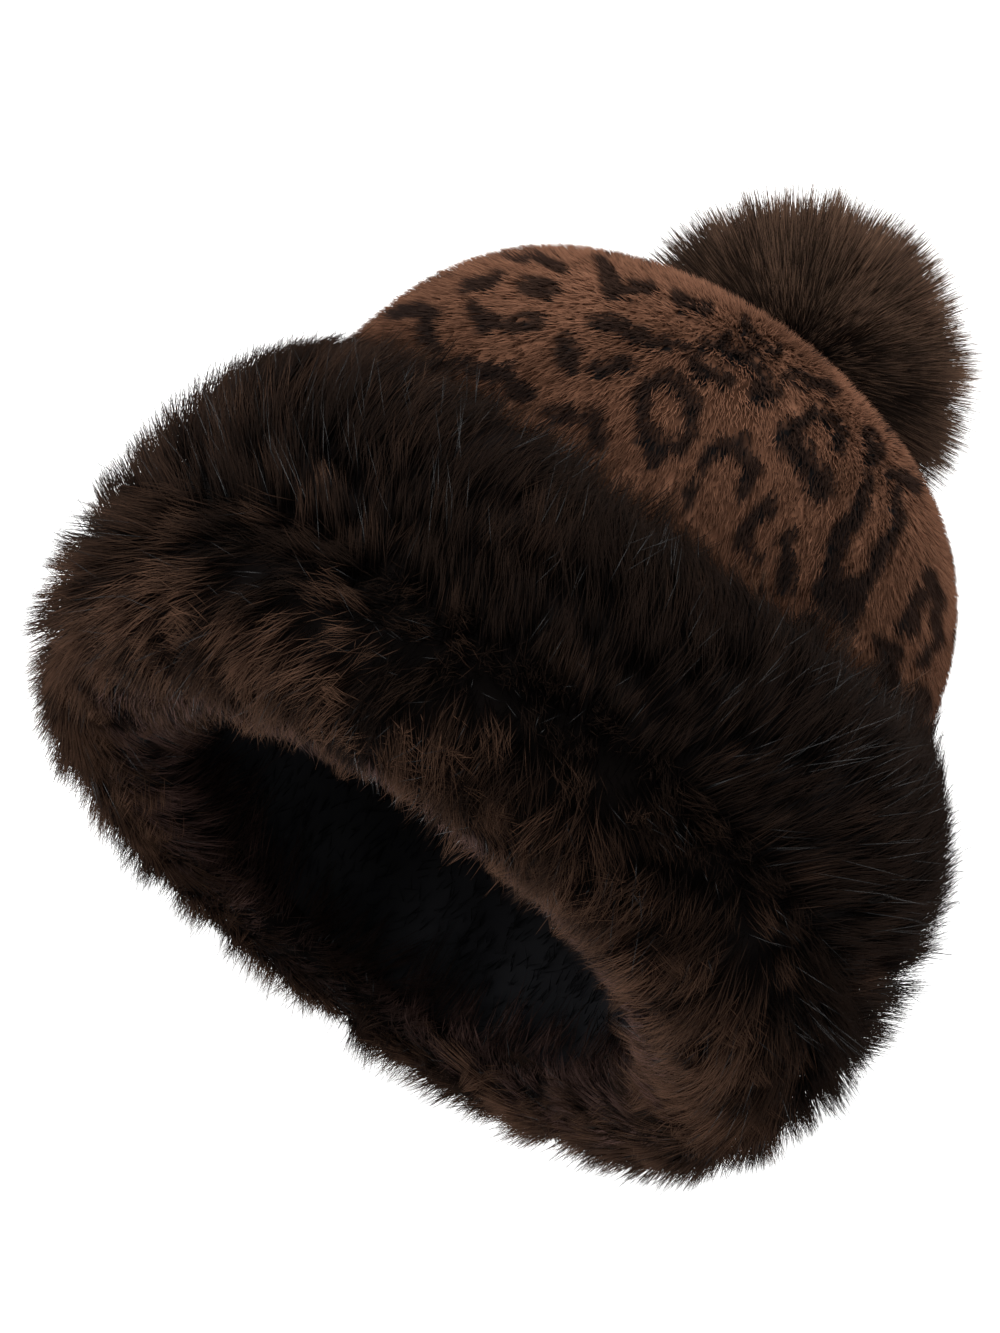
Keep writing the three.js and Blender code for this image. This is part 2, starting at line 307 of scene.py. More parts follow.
def crown_raw(place, azimuth, inset):
    """A point of the crown before the hat is centred: its line less its dents, laid down."""
    height, radius = crown_line(place, inset)
    return lay_raw(height, radius - crown_dent(height, azimuth), azimuth)


# The modelled crown has the same rings and columns, so its box shows where the hat was centred
ring_places = np.linspace(0, 1, CROWN_RINGS + 1)[:, None]
ring_turns = np.arange(SHELL_COLUMNS) / SHELL_COLUMNS * math.tau
shell = crown_raw(ring_places + 0 * ring_turns, ring_turns + 0 * ring_places, 0.0).reshape(-1, 3)
box_low, box_high = (np.array(corner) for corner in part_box("crown_shell"))
hat_shift = (box_low + box_high) / 2 - (shell.min(0) + shell.max(0)) / 2
hat_shift[2] = 0
print("dip in degrees:", round(math.degrees(dip), 3), "shift:", hat_shift.round(5))


def lay(height, radius, azimuth):
    """A point of the lying hat in the row frame."""
    return lay_raw(height, radius, azimuth) + hat_shift


# %% [markdown]
# ## Surfaces to grow on
# On a real hat the pile is woven into a backing, evenly over the cloth. To spread strands evenly
# here, they are placed by the distance run along a line of the form and by the direction round
# the hat. The cuff's strands sink from its outline towards the backing that holds them.

# %% Distances along the lines
AREA_STEPS = 400
FUR_OVER_CROWN = 0.003


def line_runs(line):
    """Distance run along a line at each of its places."""
    height, radius = line
    return np.concatenate([[0], np.cumsum(np.hypot(np.diff(height), np.diff(radius)))])


table_places = np.linspace(0, 1, AREA_STEPS)
fur_runs = line_runs(fur_line(table_places, 0 * table_places))
crown_runs = line_runs(crown_line(table_places))
FUR_RUN = fur_runs[-1]
CROWN_RUN = crown_runs[-1]
print("fur runs", round(float(FUR_RUN), 4), "m, crown runs", round(float(CROWN_RUN), 4), "m")


def crown_radius_at(run):
    """The crown's radius at a distance run from the apex."""
    return np.interp(run, crown_runs, crown_line(table_places)[1])


def cuff_top(azimuth):
    """Height of the cuff's top edge."""
    return CUFF_HEIGHT * round_about(CUFF_SHAPE, "top", azimuth)


def crown_place_at(height):
    """The place on the crown's line that lies at a height."""
    heights = crown_line(table_places)[0]
    return np.interp(-height, -heights, table_places)


def fur_spot(run, azimuth, sink):
    """Height and radius in the cuff's fur: sink is the share of the way from the outline to the
    backing, and a run past either end goes on along the crown or the lining."""
    place = np.interp(run, fur_runs, table_places)
    height, radius = fur_line(place, azimuth)
    beyond = np.maximum(run - FUR_RUN, 0) - np.maximum(-run, 0)
    ahead = fur_line(1.0 + 0 * azimuth, azimuth)[0] + np.maximum(beyond, 0)
    crown_radius = crown_line(crown_place_at(ahead))[1] + FUR_OVER_CROWN
    height = height + np.abs(beyond)
    radius = np.where(beyond > 0, np.maximum(crown_radius, radius - beyond), radius)
    backing_out = crown_line(crown_place_at(height))[1] + CUFF_EASE
    backing_in = FUR_INNER_RADIUS + FUR_INSIDE
    base_height = np.maximum(height, HEM_HEIGHT)
    base_radius = np.clip(radius, backing_in, np.maximum(backing_out, backing_in))
    return height + sink * (base_height - height), radius + sink * (base_radius - radius)


def fur_at(run, azimuth, sink):
    """A point of the fur. A sink below 0 is a distance out of the outline, in metres."""
    height, radius = fur_spot(run, azimuth, np.maximum(sink, 0))
    base_height, base_radius = fur_spot(run, azimuth, 1)
    away = np.array([height - base_height, radius - base_radius])
    away = away / np.maximum(np.hypot(*away), 1e-6) * np.maximum(-sink, 0)
    return lay(height + away[0], radius + away[1], azimuth)


def crown_at(run, azimuth, sink):
    """A point of the crown at a distance run from the apex, sink metres under its surface."""
    height, radius = crown_line(np.interp(run, crown_runs, table_places), sink)
    return lay(height, radius - crown_dent(height, azimuth), azimuth)


def crown_normal(run, azimuth):
    """The way out of the crown: from a point under its surface to one above it."""
    near = 0.002
    return unit(crown_at(run, azimuth, -near) - crown_at(run, azimuth, near))


def lining_fold(place, azimuth):
    """How far the lining's loose folds stand in."""
    height = crown_line(place)[0]
    fur_top = HEM_HEIGHT + TURN_IN_HEIGHT
    fade = smoothstep(height, fur_top, 3 * fur_top)
    fade = fade * (1 - smoothstep(height, CROWN_HEIGHT / 2, CROWN_HEIGHT))
    depth = 0.0
    for fold in LINING_FOLDS:
        depth = depth + fold.depth * LINING_WALL * hill(azimuth, fold.turn, fold.spread)
    return depth * fade


def lining_at(run, azimuth, sink):
    """A point of the lining, sink metres under the crown's surface."""
    place = np.interp(run, crown_runs, table_places)
    height, radius = crown_line(place, sink)
    return lay(height, radius - crown_dent(height, azimuth) - lining_fold(place, azimuth), azimuth)


# %% [markdown]
# ## Meshes and strands
# Blender's own hair looks good but isn't a mesh, and turned into one it is heavy. Here a strand
# is a thin closed spindle of five points, or a spike of four where the pile is short, and all
# the strands of a piece are worked out together as arrays. A strand's "along" value runs from 0
# at the root to 1 at the tip, and its "tone" value is one of a few steps from dark to light, so
# that its colours also fit on a small picture.

# %% Mesh helpers
TONE_STEPS = 12
SPOT_STEPS = 4
MOST_TONE = 0.999


def put_mesh(name, points, faces, values, strip):
    """A new object from an array of points and an array of faces. strip is each point's place
    across and along the small picture on which the colours lie."""
    mesh = bpy.data.meshes.new(name)
    corners = faces.shape[1]
    mesh.vertices.add(len(points))
    mesh.vertices.foreach_set("co", points.astype(np.float32).ravel())
    mesh.loops.add(faces.size)
    mesh.loops.foreach_set("vertex_index", faces.astype(np.int32).ravel())
    mesh.polygons.add(len(faces))
    starts = np.arange(0, faces.size, corners, dtype=np.int32)
    mesh.polygons.foreach_set("loop_start", starts)
    mesh.update(calc_edges=True)
    mesh.polygons.foreach_set("use_smooth", np.ones(len(faces), bool))
    for key, value in values.items():
        layer = mesh.attributes.new(key, "FLOAT", "POINT")
        layer.data.foreach_set("value", value.astype(np.float32))
    layer = mesh.uv_layers.new(name="OFBake")
    layer.data.foreach_set("uv", strip[faces.ravel()].astype(np.float32).ravel())
    thing = bpy.data.objects.new(name, mesh)
    bpy.context.scene.collection.objects.link(thing)
    print(f"{name}: {len(points)} points, {len(faces)} faces")
    return thing


def finish_piece(thing, slot, material, *nodes):
    """Gives a piece its finish, its body and the modelled solids that it stands for."""
    thing.data.materials.append(material)
    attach(thing, "root")
    if nodes:
        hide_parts(*nodes)
    return thing


def stepped(value, steps):
    """A value from 0 to 1 moved to the middle of one of some equal steps."""
    return (np.clip(np.floor(value * steps), 0, steps - 1) + 0.5) / steps


def unit(vectors):
    """Each vector divided by its length."""
    size = np.linalg.norm(vectors, axis=-1, keepdims=True)
    return vectors / np.maximum(size, 1e-12)


FLOOR_CLEAR = 0.0003


def above_floor(points):
    """Bends points that would lie under the floor to just above it."""
    points[..., 2] = np.maximum(points[..., 2], FLOOR_CLEAR)
    return points


# %% Strands
STRIP_SIDE = 0.3
STRIP_LOW = 0.02
STRIP_LONG = 0.96


def strand_values(count, corner_along, corner_side, tone, spot):
    """The values of each strand's points, and their places on the small picture: a column for
    each pair of tone and spot steps, root at the bottom and tip at the top."""
    corners = len(corner_along)
    tone = stepped(tone, TONE_STEPS)
    spot = np.zeros(count) if spot is None else stepped(spot, SPOT_STEPS)
    columns = TONE_STEPS * SPOT_STEPS
    which = np.floor(tone * TONE_STEPS) + TONE_STEPS * np.floor(spot * SPOT_STEPS)
    across = (which[:, None] + 0.5 + STRIP_SIDE * np.array(corner_side)) / columns
    up = np.broadcast_to(STRIP_LOW + STRIP_LONG * np.array(corner_along), across.shape)
    values = {
        "along": np.tile(corner_along, count),
        "tone": np.repeat(tone, corners),
        "spot": np.repeat(spot, corners),
    }
    return values, np.stack([across, up], -1).reshape(-1, 2)


def cross_sides(way, rng):
    """Two directions at right angles to each way and to each other."""
    side = unit(np.cross(way, unit(rng.normal(size=way.shape))))
    return side, np.cross(way, side)


# The faces of a strand, and how far along it and to which side each of its points lies
Shape = namedtuple("Shape", "faces along side")
SPINDLE_FACES = [[0, 2, 1], [0, 3, 2], [0, 1, 3], [4, 1, 2], [4, 2, 3], [4, 3, 1]]
SPINDLE = Shape(SPINDLE_FACES, [0, 0.5, 0.5, 0.5, 1], [0, -1, 0, 1, 0])
SPIKE = Shape([[3, 0, 1], [3, 1, 2], [3, 2, 0]], [0, 0.05, 0, 1], [-1, 0, 1, 0])


def put_strands(name, root, middle, tip, width, tone, rng, spot=None):
    """Strands with three points at equal turns round their middle, between a root and a tip.
    With no middle the three lie round the root, which is hidden."""
    side, other = cross_sides(unit(tip - root), rng)
    shape, wide = (SPIKE, root) if middle is None else (SPINDLE, middle)
    points = [] if middle is None else [root]
    for turn in (0, math.tau / 3, 2 * math.tau / 3):
        points.append(wide + width[:, None] * (side * math.cos(turn) + other * math.sin(turn)))
    points.append(tip)
    first = len(points) * np.arange(len(root))[:, None, None]
    faces = (np.array(shape.faces) + first).reshape(-1, 3)
    points = above_floor(np.stack(points, 1)).reshape(-1, 3)
    values, strip = strand_values(len(root), shape.along, shape.side, tone, spot)
    return put_mesh(name, points, faces, values, strip)


# %% Waves and tufts
WAVE_COUNT = 6
WAVE_LEVEL = 2.4
TUFT_SHIFT = 0.45
SHORTEST_STRAND = 0.7
LONGEST_STRAND = 1.15


def waves(run, azimuth, rng, size=0.05, turns=4):
    """Smooth noise from about -1 to 1: the mean of a few crossed waves, each with whole turns
    round the hat and its own length along it."""
    total = np.zeros(np.broadcast(run, azimuth).shape)
    for _ in range(WAVE_COUNT):
        around = rng.integers(1, 2 * turns)
        length = size * rng.uniform(0.7, 1.8)
        phase = rng.uniform(0, math.tau)
        total = total + np.sin(azimuth * around + run / length * rng.choice([-1, 1]) + phase)
    return total / WAVE_LEVEL


def tuft_grid(run_from, run_to, pitch, radius_of, rng):
    """Tuft places at about one pitch from each other: rows along the line, each with as many
    tufts round the hat as fit, moved a little at random."""
    found = []
    for run in np.arange(run_from + pitch / 2, run_to, pitch):
        count = max(int(math.tau * radius_of(run) / pitch), 6)
        shift = rng.uniform(-TUFT_SHIFT, TUFT_SHIFT, count)
        turn = (np.arange(count) + shift + rng.uniform()) / count
        shift = rng.uniform(-TUFT_SHIFT, TUFT_SHIFT, count)
        found.append(np.stack([run + pitch * shift, turn * math.tau], 1))
    return np.concatenate(found)


Growth = namedtuple("Growth", "spread gather length stray loose straight")


def grow(at, tufts, heading, reach, radius, count, growth, sinks, rng):
    """Roots, middles and tips of strands in tufts. Each strand starts at a random distance from
    its tuft's place, runs along the tuft's heading, and gathers towards the tuft's line. sinks
    gives the depth of the root, the middle and the tip, and a straight strand's tip leaves the
    surface to go on from its root through its middle."""
    pick = rng.integers(len(tufts), size=count)
    straight = np.broadcast_to(growth.straight, len(tufts))[pick][:, None]
    off = rng.normal(0, growth.spread, (count, 2))
    turn = heading[pick] + rng.normal(0, growth.stray, count)
    length = growth.length * reach[pick] * rng.uniform(SHORTEST_STRAND, LONGEST_STRAND, count)
    gather = np.where(rng.uniform(size=count) < growth.loose, 0.0, growth.gather)
    found = []
    for share, sink in zip((0, 0.5, 1), sinks(pick, rng)):
        keep = 1 - gather * share
        run = tufts[pick, 0] + off[:, 0] * keep + length * share * np.cos(turn)
        side = off[:, 1] * keep + length * share * np.sin(turn)
        found.append(at(run, tufts[pick, 1] + side / radius[pick], sink))
    root, middle, tip = found
    return pick, [root, middle, tip + straight * (2 * middle - root - tip)]


# %% [markdown]
# ## Materials
# Dyed faux fur has dark roots and lighter tips, and no two tufts are alike. One colour with noise
# wouldn't follow the hair. So each material mixes a dark and a light strand by tone, and each of
# those runs from its root colour to its tip colour. On the crown a third strand is mixed in where
# a spot lies. The pile is dull, and only the stiff guard hairs glint.

# %% Materials


def ramp(tree, factor, stops):
    """A colour ramp of (place, colour) stops."""
    node = tree.nodes.new("ShaderNodeValToRGB")
    marks = node.color_ramp.elements
    while len(marks) < len(stops):
        marks.new(0.5)
    for mark, (place, colour) in zip(marks, stops):
        mark.position = place
        mark.color = (*colour, 1)
    tree.links.new(factor, node.inputs["Fac"])
    return node.outputs["Color"]


def mixed(tree, factor, first, second):
    """The first colour at a factor of 0 and the second at 1."""
    node = tree.nodes.new("ShaderNodeMix")
    node.data_type = "RGBA"
    for socket, source in zip((0, 6, 7), (factor, first, second)):
        tree.links.new(source, node.inputs[socket])
    return node.outputs[2]


def value_of(tree, name):
    """A value that the mesh's points carry."""
    node = tree.nodes.new("ShaderNodeAttribute")
    node.attribute_name = name
    return node.outputs["Fac"]


def strand_material(name, dark, light, spot=None, roughness=0.7, shine=0.015):
    """A finish for strands: dark and light are ramps from root to tip, mixed by tone."""
    material = bpy.data.materials.new(name)
    material.use_nodes = True
    tree = material.node_tree
    shader = tree.nodes["Principled BSDF"]
    place = value_of(tree, "along")
    colour = mixed(tree, value_of(tree, "tone"), ramp(tree, place, dark), ramp(tree, place, light))
    if spot:
        colour = mixed(tree, value_of(tree, "spot"), colour, ramp(tree, place, spot))
    tree.links.new(colour, shader.inputs["Base Color"])
    shader.inputs["Roughness"].default_value = roughness
    shader.inputs["Specular IOR Level"].default_value = shine
    return material


CUFF_DARK = [
    (0.0, (0.0035, 0.0026, 0.0024)),
    (0.6, (0.0055, 0.0037, 0.003)),
    (1.0, (0.011, 0.0067, 0.005)),
]
CUFF_LIGHT = [
    (0.0, (0.006, 0.004, 0.0034)),
    (0.5, (0.026, 0.014, 0.0098)),
    (1.0, (0.15, 0.08, 0.05)),
]
GUARD_DARK = [(0.0, (0.003, 0.003, 0.003)), (1.0, (0.006, 0.006, 0.0065))]
GUARD_LIGHT = [(0.0, (0.004, 0.004, 0.004)), (1.0, (0.03, 0.027, 0.027))]
# The fur inside the opening: a lighter copy of the cuff's fur colours, painted light where it lies
# in the opening
RIM_LIT_DARK = [
    (0.0, (0.008, 0.0055, 0.005)),
    (0.6, (0.016, 0.01, 0.0085)),
    (1.0, (0.036, 0.021, 0.018)),
]
RIM_LIT_LIGHT = [(0.0, (0.014, 0.009, 0.0085)), (0.5, (0.05, 0.029, 0.025)), (1.0, (0.17, 0.096, 0.08))]
CROWN_DARK = [(0.0, (0.035, 0.015, 0.008)), (1.0, (0.06, 0.026, 0.014))]
CROWN_LIGHT = [(0.0, (0.17, 0.079, 0.047)), (1.0, (0.42, 0.205, 0.125))]
CROWN_SPOT = [(0.0, (0.005, 0.0047, 0.0048)), (1.0, (0.01, 0.0095, 0.0098))]
LINING_DARK = [(0.0, (0.008, 0.008, 0.009)), (1.0, (0.016, 0.016, 0.018))]
LINING_LIGHT = [(0.0, (0.01, 0.01, 0.011)), (1.0, (0.028, 0.028, 0.031))]
POM_DARK = [
    (0.0, (0.004, 0.003, 0.0027)),
    (0.7, (0.009, 0.006, 0.0048)),
    (1.0, (0.024, 0.0155, 0.0115)),
]
POM_LIGHT = [
    (0.0, (0.006, 0.004, 0.0032)),
    (0.7, (0.023, 0.013, 0.0085)),
    (1.0, (0.3, 0.17, 0.108)),
]

cuff_finish = strand_material("cuff_fur", CUFF_DARK, CUFF_LIGHT)
# The cuff's fur with painted light, for the fur inside the opening
lit_rim_finish = strand_material("rim_fur_painted_light", RIM_LIT_DARK, RIM_LIT_LIGHT)
crown_finish = strand_material("leopard_plush", CROWN_DARK, CROWN_LIGHT, CROWN_SPOT)
lining_finish = strand_material("lining_plush", LINING_DARK, LINING_LIGHT)
pompom_finish = strand_material("pompom_fur", POM_DARK, POM_LIGHT)
guard_finish = strand_material("guard_hair", GUARD_DARK, GUARD_LIGHT, roughness=0.27, shine=0.3)

# %% [markdown]
# ## The leopard print
# The print on the real crown is dyed into the pile, so its edges are soft and broken by hairs.
# It could be painted on a picture, but here each strand asks for itself whether a mark lies at
# its place. The side that faces up is charted as short thick strokes, in thousandths of the
# picture's width from its top left corner. Broken rings are scattered over the other sides.

# %% Chart of the marks
Stroke = namedtuple("Stroke", "x0 y0 x1 y1 half")
STROKES = rows_of(Stroke, [
    (388, 309, 428, 312, 7),
    (422, 318, 428, 345, 9),
    (428, 276, 462, 262, 4),
    (464, 288, 494, 276, 6),
    (524, 282, 546, 290, 8),
    (505, 256, 540, 257, 3),
    (540, 258, 560, 265, 5),
    (522, 243, 552, 245, 2),
    (584, 243, 606, 246, 3),
    (598, 256, 606, 270, 6),
    (604, 270, 612, 290, 8),
    (612, 290, 628, 289, 3),
    (628, 288, 648, 285, 6),
    (678, 297, 708, 308, 6),
    (474, 310, 482, 326, 8),
    (482, 322, 515, 324, 6),
    (518, 320, 532, 324, 8),
    (590, 319, 606, 320, 6),
    (606, 322, 638, 334, 7),
    (650, 341, 684, 345, 4.5),
    (564, 344, 566, 364, 11),
    (594, 370, 612, 364, 7),
    (612, 362, 630, 366, 5.5),
    (704, 343, 728, 337, 5),
    (728, 349, 746, 355, 6),
    (694, 358, 703, 372, 6),
    (704, 373, 730, 380, 6.5),
    (745, 320, 756, 336, 5),
    (758, 342, 780, 350, 4),
    (758, 366, 768, 376, 7),
    (760, 392, 772, 392, 11),
    (788, 376, 808, 377, 4),
    (808, 378, 832, 390, 5.5),
    (442, 363, 470, 366, 5),
    (470, 368, 505, 373, 9),
    (500, 378, 524, 394, 9),
    (546, 412, 566, 414, 6),
    (566, 420, 590, 420, 4),
    (592, 414, 596, 445, 8),
    (646, 386, 660, 380, 7),
    (660, 378, 680, 382, 8),
    (682, 386, 694, 406, 7),
    (694, 406, 690, 434, 7),
    (639, 398, 643, 425, 7),
    (646, 436, 656, 456, 11),
    (656, 450, 680, 446, 9),
    (716, 450, 738, 444, 10),
    (744, 450, 751, 470, 9),
    (750, 470, 744, 495, 6.5),
    (710, 456, 702, 474, 6),
    (692, 490, 686, 508, 6),
    (803, 420, 820, 413, 6),
    (820, 413, 838, 424, 7),
    (840, 426, 842, 450, 5.5),
    (788, 438, 802, 452, 13),
    (792, 428, 806, 420, 7),
    (804, 460, 820, 478, 12),
    (820, 484, 824, 490, 14),
    (872, 436, 877, 460, 8),
    (868, 476, 866, 498, 4),
    (866, 505, 846, 530, 8),
    (846, 530, 832, 556, 8),
    (893, 474, 920, 488, 6),
    (899, 490, 900, 520, 4),
    (900, 525, 880, 560, 7),
    (880, 560, 866, 590, 7),
    (832, 560, 835, 590, 8),
    (826, 596, 850, 610, 14),
    (850, 585, 862, 600, 8),
    (836, 618, 850, 630, 8),
    (770, 506, 752, 524, 8),
    (750, 526, 742, 548, 8),
    (748, 556, 760, 560, 5),
    (788, 538, 790, 560, 6),
    (787, 565, 787, 592, 9),
    (930, 578, 938, 600, 6),
    (938, 600, 937, 640, 5),
    (936, 645, 920, 668, 5),
    (920, 600, 906, 634, 9),
    (882, 648, 896, 660, 9),
    (888, 672, 892, 700, 9),
    (922, 700, 910, 715, 10),
])

# %% The camera's view of the marks
PICTURE_WIDTH = 1000
PICTURE_HEIGHT = 1333
FOCAL = 4420
SIGHT_X = 568
SIGHT_Y = 665
SIGHT_RUN = 0.1
EYE_DISTANCE = 1.3
PICTURE_TURN = math.radians(35.236)

sight_point = lay(np.array(SIGHT_RUN), np.array(0.0), np.array(0.0))
sight_point[0] -= CROWN_SWAY * smoothstep(SIGHT_RUN, CUFF_HEIGHT / 2, CROWN_HEIGHT)
eye = sight_point + np.array([0, 0, EYE_DISTANCE])
image_right = np.array([math.cos(PICTURE_TURN), math.sin(PICTURE_TURN), 0])
image_up = np.array([-math.sin(PICTURE_TURN), math.cos(PICTURE_TURN), 0])


def pictured(points):
    """Where points of the hat appear in the picture."""
    away = eye[2] - points[:, 2]
    x = SIGHT_X + FOCAL * ((points - eye) @ image_right) / away
    y = SIGHT_Y - FOCAL * ((points - eye) @ image_up) / away
    return x, y


MARK_EDGE = 3.4
MARK_GROWTH = 2.0
WOBBLE = 2.2
WOBBLE_LENGTH = 6.5


def charted_spots(points):
    """How much of a mark lies at each point: 1 well within a stroke and 0 well outside it. The
    places wobble by crossed sine waves, so that no edge is straight."""
    x, y = pictured(points)
    wave = y / WOBBLE_LENGTH + 1.3 * np.sin(x / WOBBLE_LENGTH / 2)
    rise = WOBBLE * np.sin(x / WOBBLE_LENGTH + 1.7 * np.cos(wave / 2))
    x, y = x + WOBBLE * np.sin(wave), y + rise
    spot = np.zeros(len(points))
    for mark in STROKES:
        dx, dy = mark.x1 - mark.x0, mark.y1 - mark.y0
        share = np.clip(((x - mark.x0) * dx + (y - mark.y0) * dy) / (dx * dx + dy * dy), 0, 1)
        off = np.hypot(x - mark.x0 - share * dx, y - mark.y0 - share * dy)
        off = off - mark.half - MARK_GROWTH
        spot = np.maximum(spot, 1 - smoothstep(off, -MARK_EDGE, MARK_EDGE))
    return spot


# %% Scattered marks for the other sides
ROSETTE_PITCH = 0.028
ROSETTE_RADIUS = 0.0085
ROSETTE_HALF = 0.0019
ROSETTE_FROM = 0.02
ROSETTE_EDGE = 0.0007
ROSETTE_BENT = 0.16
ROSETTE_UNEVEN = 0.5
print_rng = np.random.default_rng(11)
rosettes = tuft_grid(ROSETTE_FROM, CROWN_RUN, ROSETTE_PITCH, crown_radius_at, print_rng)
rosette_points = crown_at(rosettes[:, 0], rosettes[:, 1], 0.0)
rosette_ahead = unit(crown_at(rosettes[:, 0] + 0.002, rosettes[:, 1], 0.0) - rosette_points)
rosette_side = unit(crown_at(rosettes[:, 0], rosettes[:, 1] + 0.02, 0.0) - rosette_points)
rosette_size = ROSETTE_RADIUS * print_rng.uniform(0.55, 1.2, len(rosettes))
rosette_long = print_rng.uniform(0.8, 1.35, len(rosettes))
rosette_phase = print_rng.uniform(0, math.tau, len(rosettes))


def scattered_spots(points):
    """Broken rings: a mark lies where a point is near a ring's line and its angle is not in one
    of the ring's two or three breaks."""
    spot = np.zeros(len(points))
    for k in range(len(rosettes)):
        away = points - rosette_points[k]
        near = np.flatnonzero(np.einsum("ij,ij->i", away, away) < ROSETTE_PITCH**2)
        if not len(near):
            continue
        u = away[near] @ rosette_ahead[k] / rosette_long[k]
        v = away[near] @ rosette_side[k]
        angle = np.arctan2(v, u)
        ring = rosette_size[k] * (1 + ROSETTE_BENT * np.sin(2 * angle + rosette_phase[k]))
        uneven = ROSETTE_UNEVEN * np.sin(3 * angle + 2 * rosette_phase[k])
        half = ROSETTE_HALF * (1 + uneven)
        off = np.abs(np.hypot(u, v) - ring) - half
        breaks = smoothstep(np.sin((2 + k % 2) * angle + 3 * rosette_phase[k]), -0.85, -0.55)
        mark = (1 - smoothstep(off, -ROSETTE_EDGE, ROSETTE_EDGE)) * breaks
        spot[near] = np.maximum(spot[near], mark)
    return spot


SCATTERED_TO = 0.12
CHARTED_FROM = 0.2


def spots(points, facing):
    """Charted marks where the crown faces up, and scattered marks elsewhere. facing is how
    straight up the surface looks: 1 at the top, 0 at the sides and less under them."""
    share = smoothstep(facing, SCATTERED_TO, CHARTED_FROM)
    return share * charted_spots(points) + (1 - share) * scattered_spots(points)


# %% [markdown]
# ## The crown
# The crown is plush cloth. Strands alone would let light through between them, so a closed shell
# of cloth lies under them. It carries the print in its points and is kept just under the tips.

# %% Faces of closed bodies


def closed_rings(rings, columns, loop):
    """Faces between rings of equal columns. With loop the last ring meets the first."""
    pairs = rings if loop else rings - 1
    k, j = np.meshgrid(np.arange(pairs), np.arange(columns), indexing="ij")
    after, beside = (k + 1) % rings, (j + 1) % columns
    here, ahead = k * columns, after * columns
    return np.stack([here + j, here + beside, ahead + beside, ahead + j], -1).reshape(-1, 4)


def outward(points, faces):
    """Faces turned so that they point out of the closed body that they make."""
    a, b, c = (points[faces[:, n]] for n in (0, 1, 2))
    d = points[faces[:, 3]]
    volume = np.einsum("ij,ij->", a, np.cross(b, c)) + np.einsum("ij,ij->", a, np.cross(c, d))
    return faces if volume > 0 else faces[:, ::-1]


def ring_points(at, runs, sinks, columns):
    """Rings of points at each run and sink."""
    turn = np.arange(columns) / columns * math.tau
    rows = [at(run + 0 * turn, turn, sink + 0 * turn) for run, sink in zip(runs, sinks)]
    return np.concatenate(rows)


def ring_places_of(runs, columns):
    """The run and the direction round the hat of each point of some rings."""
    turns = np.arange(columns) / columns * math.tau
    return np.repeat(runs, columns), np.tile(turns, len(runs))


def put_shell(name, points, columns, along, tone, spot=0.0, loop=True):
    """A closed body from rings of points, kept above the floor. On the small picture the
    direction round a ring goes across and the rings go up."""
    points = above_floor(points)
    rings = len(points) // columns
    faces = outward(points, closed_rings(rings, columns, loop))
    across = np.tile(np.arange(columns) / columns, rings)
    strip = np.stack([across, np.repeat(np.linspace(0, 1, rings), columns)], 1)
    each = np.ones(len(points))
    values = {"along": along * each, "tone": tone * each, "spot": spot * each}
    return put_mesh(name, points, faces, values, strip)


def surface_tone(run, azimuth, rng):
    """The tone of cloth or of a roll: a middle tone with small waves."""
    return 0.5 + 0.3 * waves(run, azimuth, rng, 0.01, 12)


# %% Crown skin
PILE_DEPTH = 0.0028
SKIN_COLUMNS = 216
SKIN_RINGS = 96
SKIN_INNER_RINGS = 14
SKIN_ALONG = 0.25
APEX_RUN = 0.0006
outer_runs = np.linspace(APEX_RUN, CROWN_RUN, SKIN_RINGS)
inner_runs = np.linspace(CROWN_RUN, APEX_RUN, SKIN_INNER_RINGS)
skin_runs = np.concatenate([outer_runs, inner_runs])
skin_sinks = np.repeat([PILE_DEPTH, CROWN_WALL], [SKIN_RINGS, SKIN_INNER_RINGS])
skin_points = ring_points(crown_at, skin_runs, skin_sinks, SKIN_COLUMNS)
skin_at, skin_turns = ring_places_of(skin_runs, SKIN_COLUMNS)
skin_facing = crown_normal(skin_at, skin_turns)[:, 2]
skin_spot = spots(crown_at(skin_at, skin_turns, 0.0), skin_facing)
crown_rng = np.random.default_rng(5)
skin_tone = surface_tone(skin_at, skin_turns, crown_rng)
crown_skin = put_shell("crown_skin", skin_points, SKIN_COLUMNS, SKIN_ALONG, skin_tone, skin_spot)
finish_piece(crown_skin, "leopard_plush", crown_finish, "crown_shell")

# %% [markdown]
# ## The crown's pile
# Short dense pile is combed from the apex towards the cuff. It is darker beside the cuff, a painted
# shade where it lies in shade, and lighter on one side, a painted highlight where the light falls.
# It stands higher at the side where the real plush is brushed up. Two pieces share the strands,
# because a single mesh would be too heavy.

# %% Sizes of the pile
PILE_LENGTH = 0.0062
PILE_WIDTH = 0.00024
PILE_COUNT = 45000
PILE_PARTS = 2
PILE_TUFT = 0.0026
CUFF_COVER = 0.012
CUFF_SHARE = 0.82
APEX_RADIUS = 0.004
PILE_LOW = -0.0009
PILE_HIGH = 0.0007
PILE_LOFT = 0.003
PILE_LOFT_TURN = 188
PILE_LOFT_SPREAD = 42
PILE_LOFT_FROM = 0.02
PILE_LOFT_TO = 0.05
PILE_SWIRL = 0.16
PILE_SWIRL_STRAY = 0.06

# %% Tufts of the pile


def pile_radius_at(run):
    """The crown's radius, kept from nothing at the apex so that tufts have a width there."""
    return np.maximum(crown_radius_at(run), APEX_RADIUS)


pile_end = float(np.interp(crown_place_at(CUFF_HEIGHT * CUFF_SHARE), table_places, crown_runs))
pile_tufts = tuft_grid(0.0, pile_end, PILE_TUFT, pile_radius_at, crown_rng)
tuft_height = crown_line(np.interp(pile_tufts[:, 0], crown_runs, table_places))[0]
pile_tufts = pile_tufts[tuft_height > cuff_top(pile_tufts[:, 1]) - CUFF_COVER]
print(len(pile_tufts), "tufts of pile on the crown")

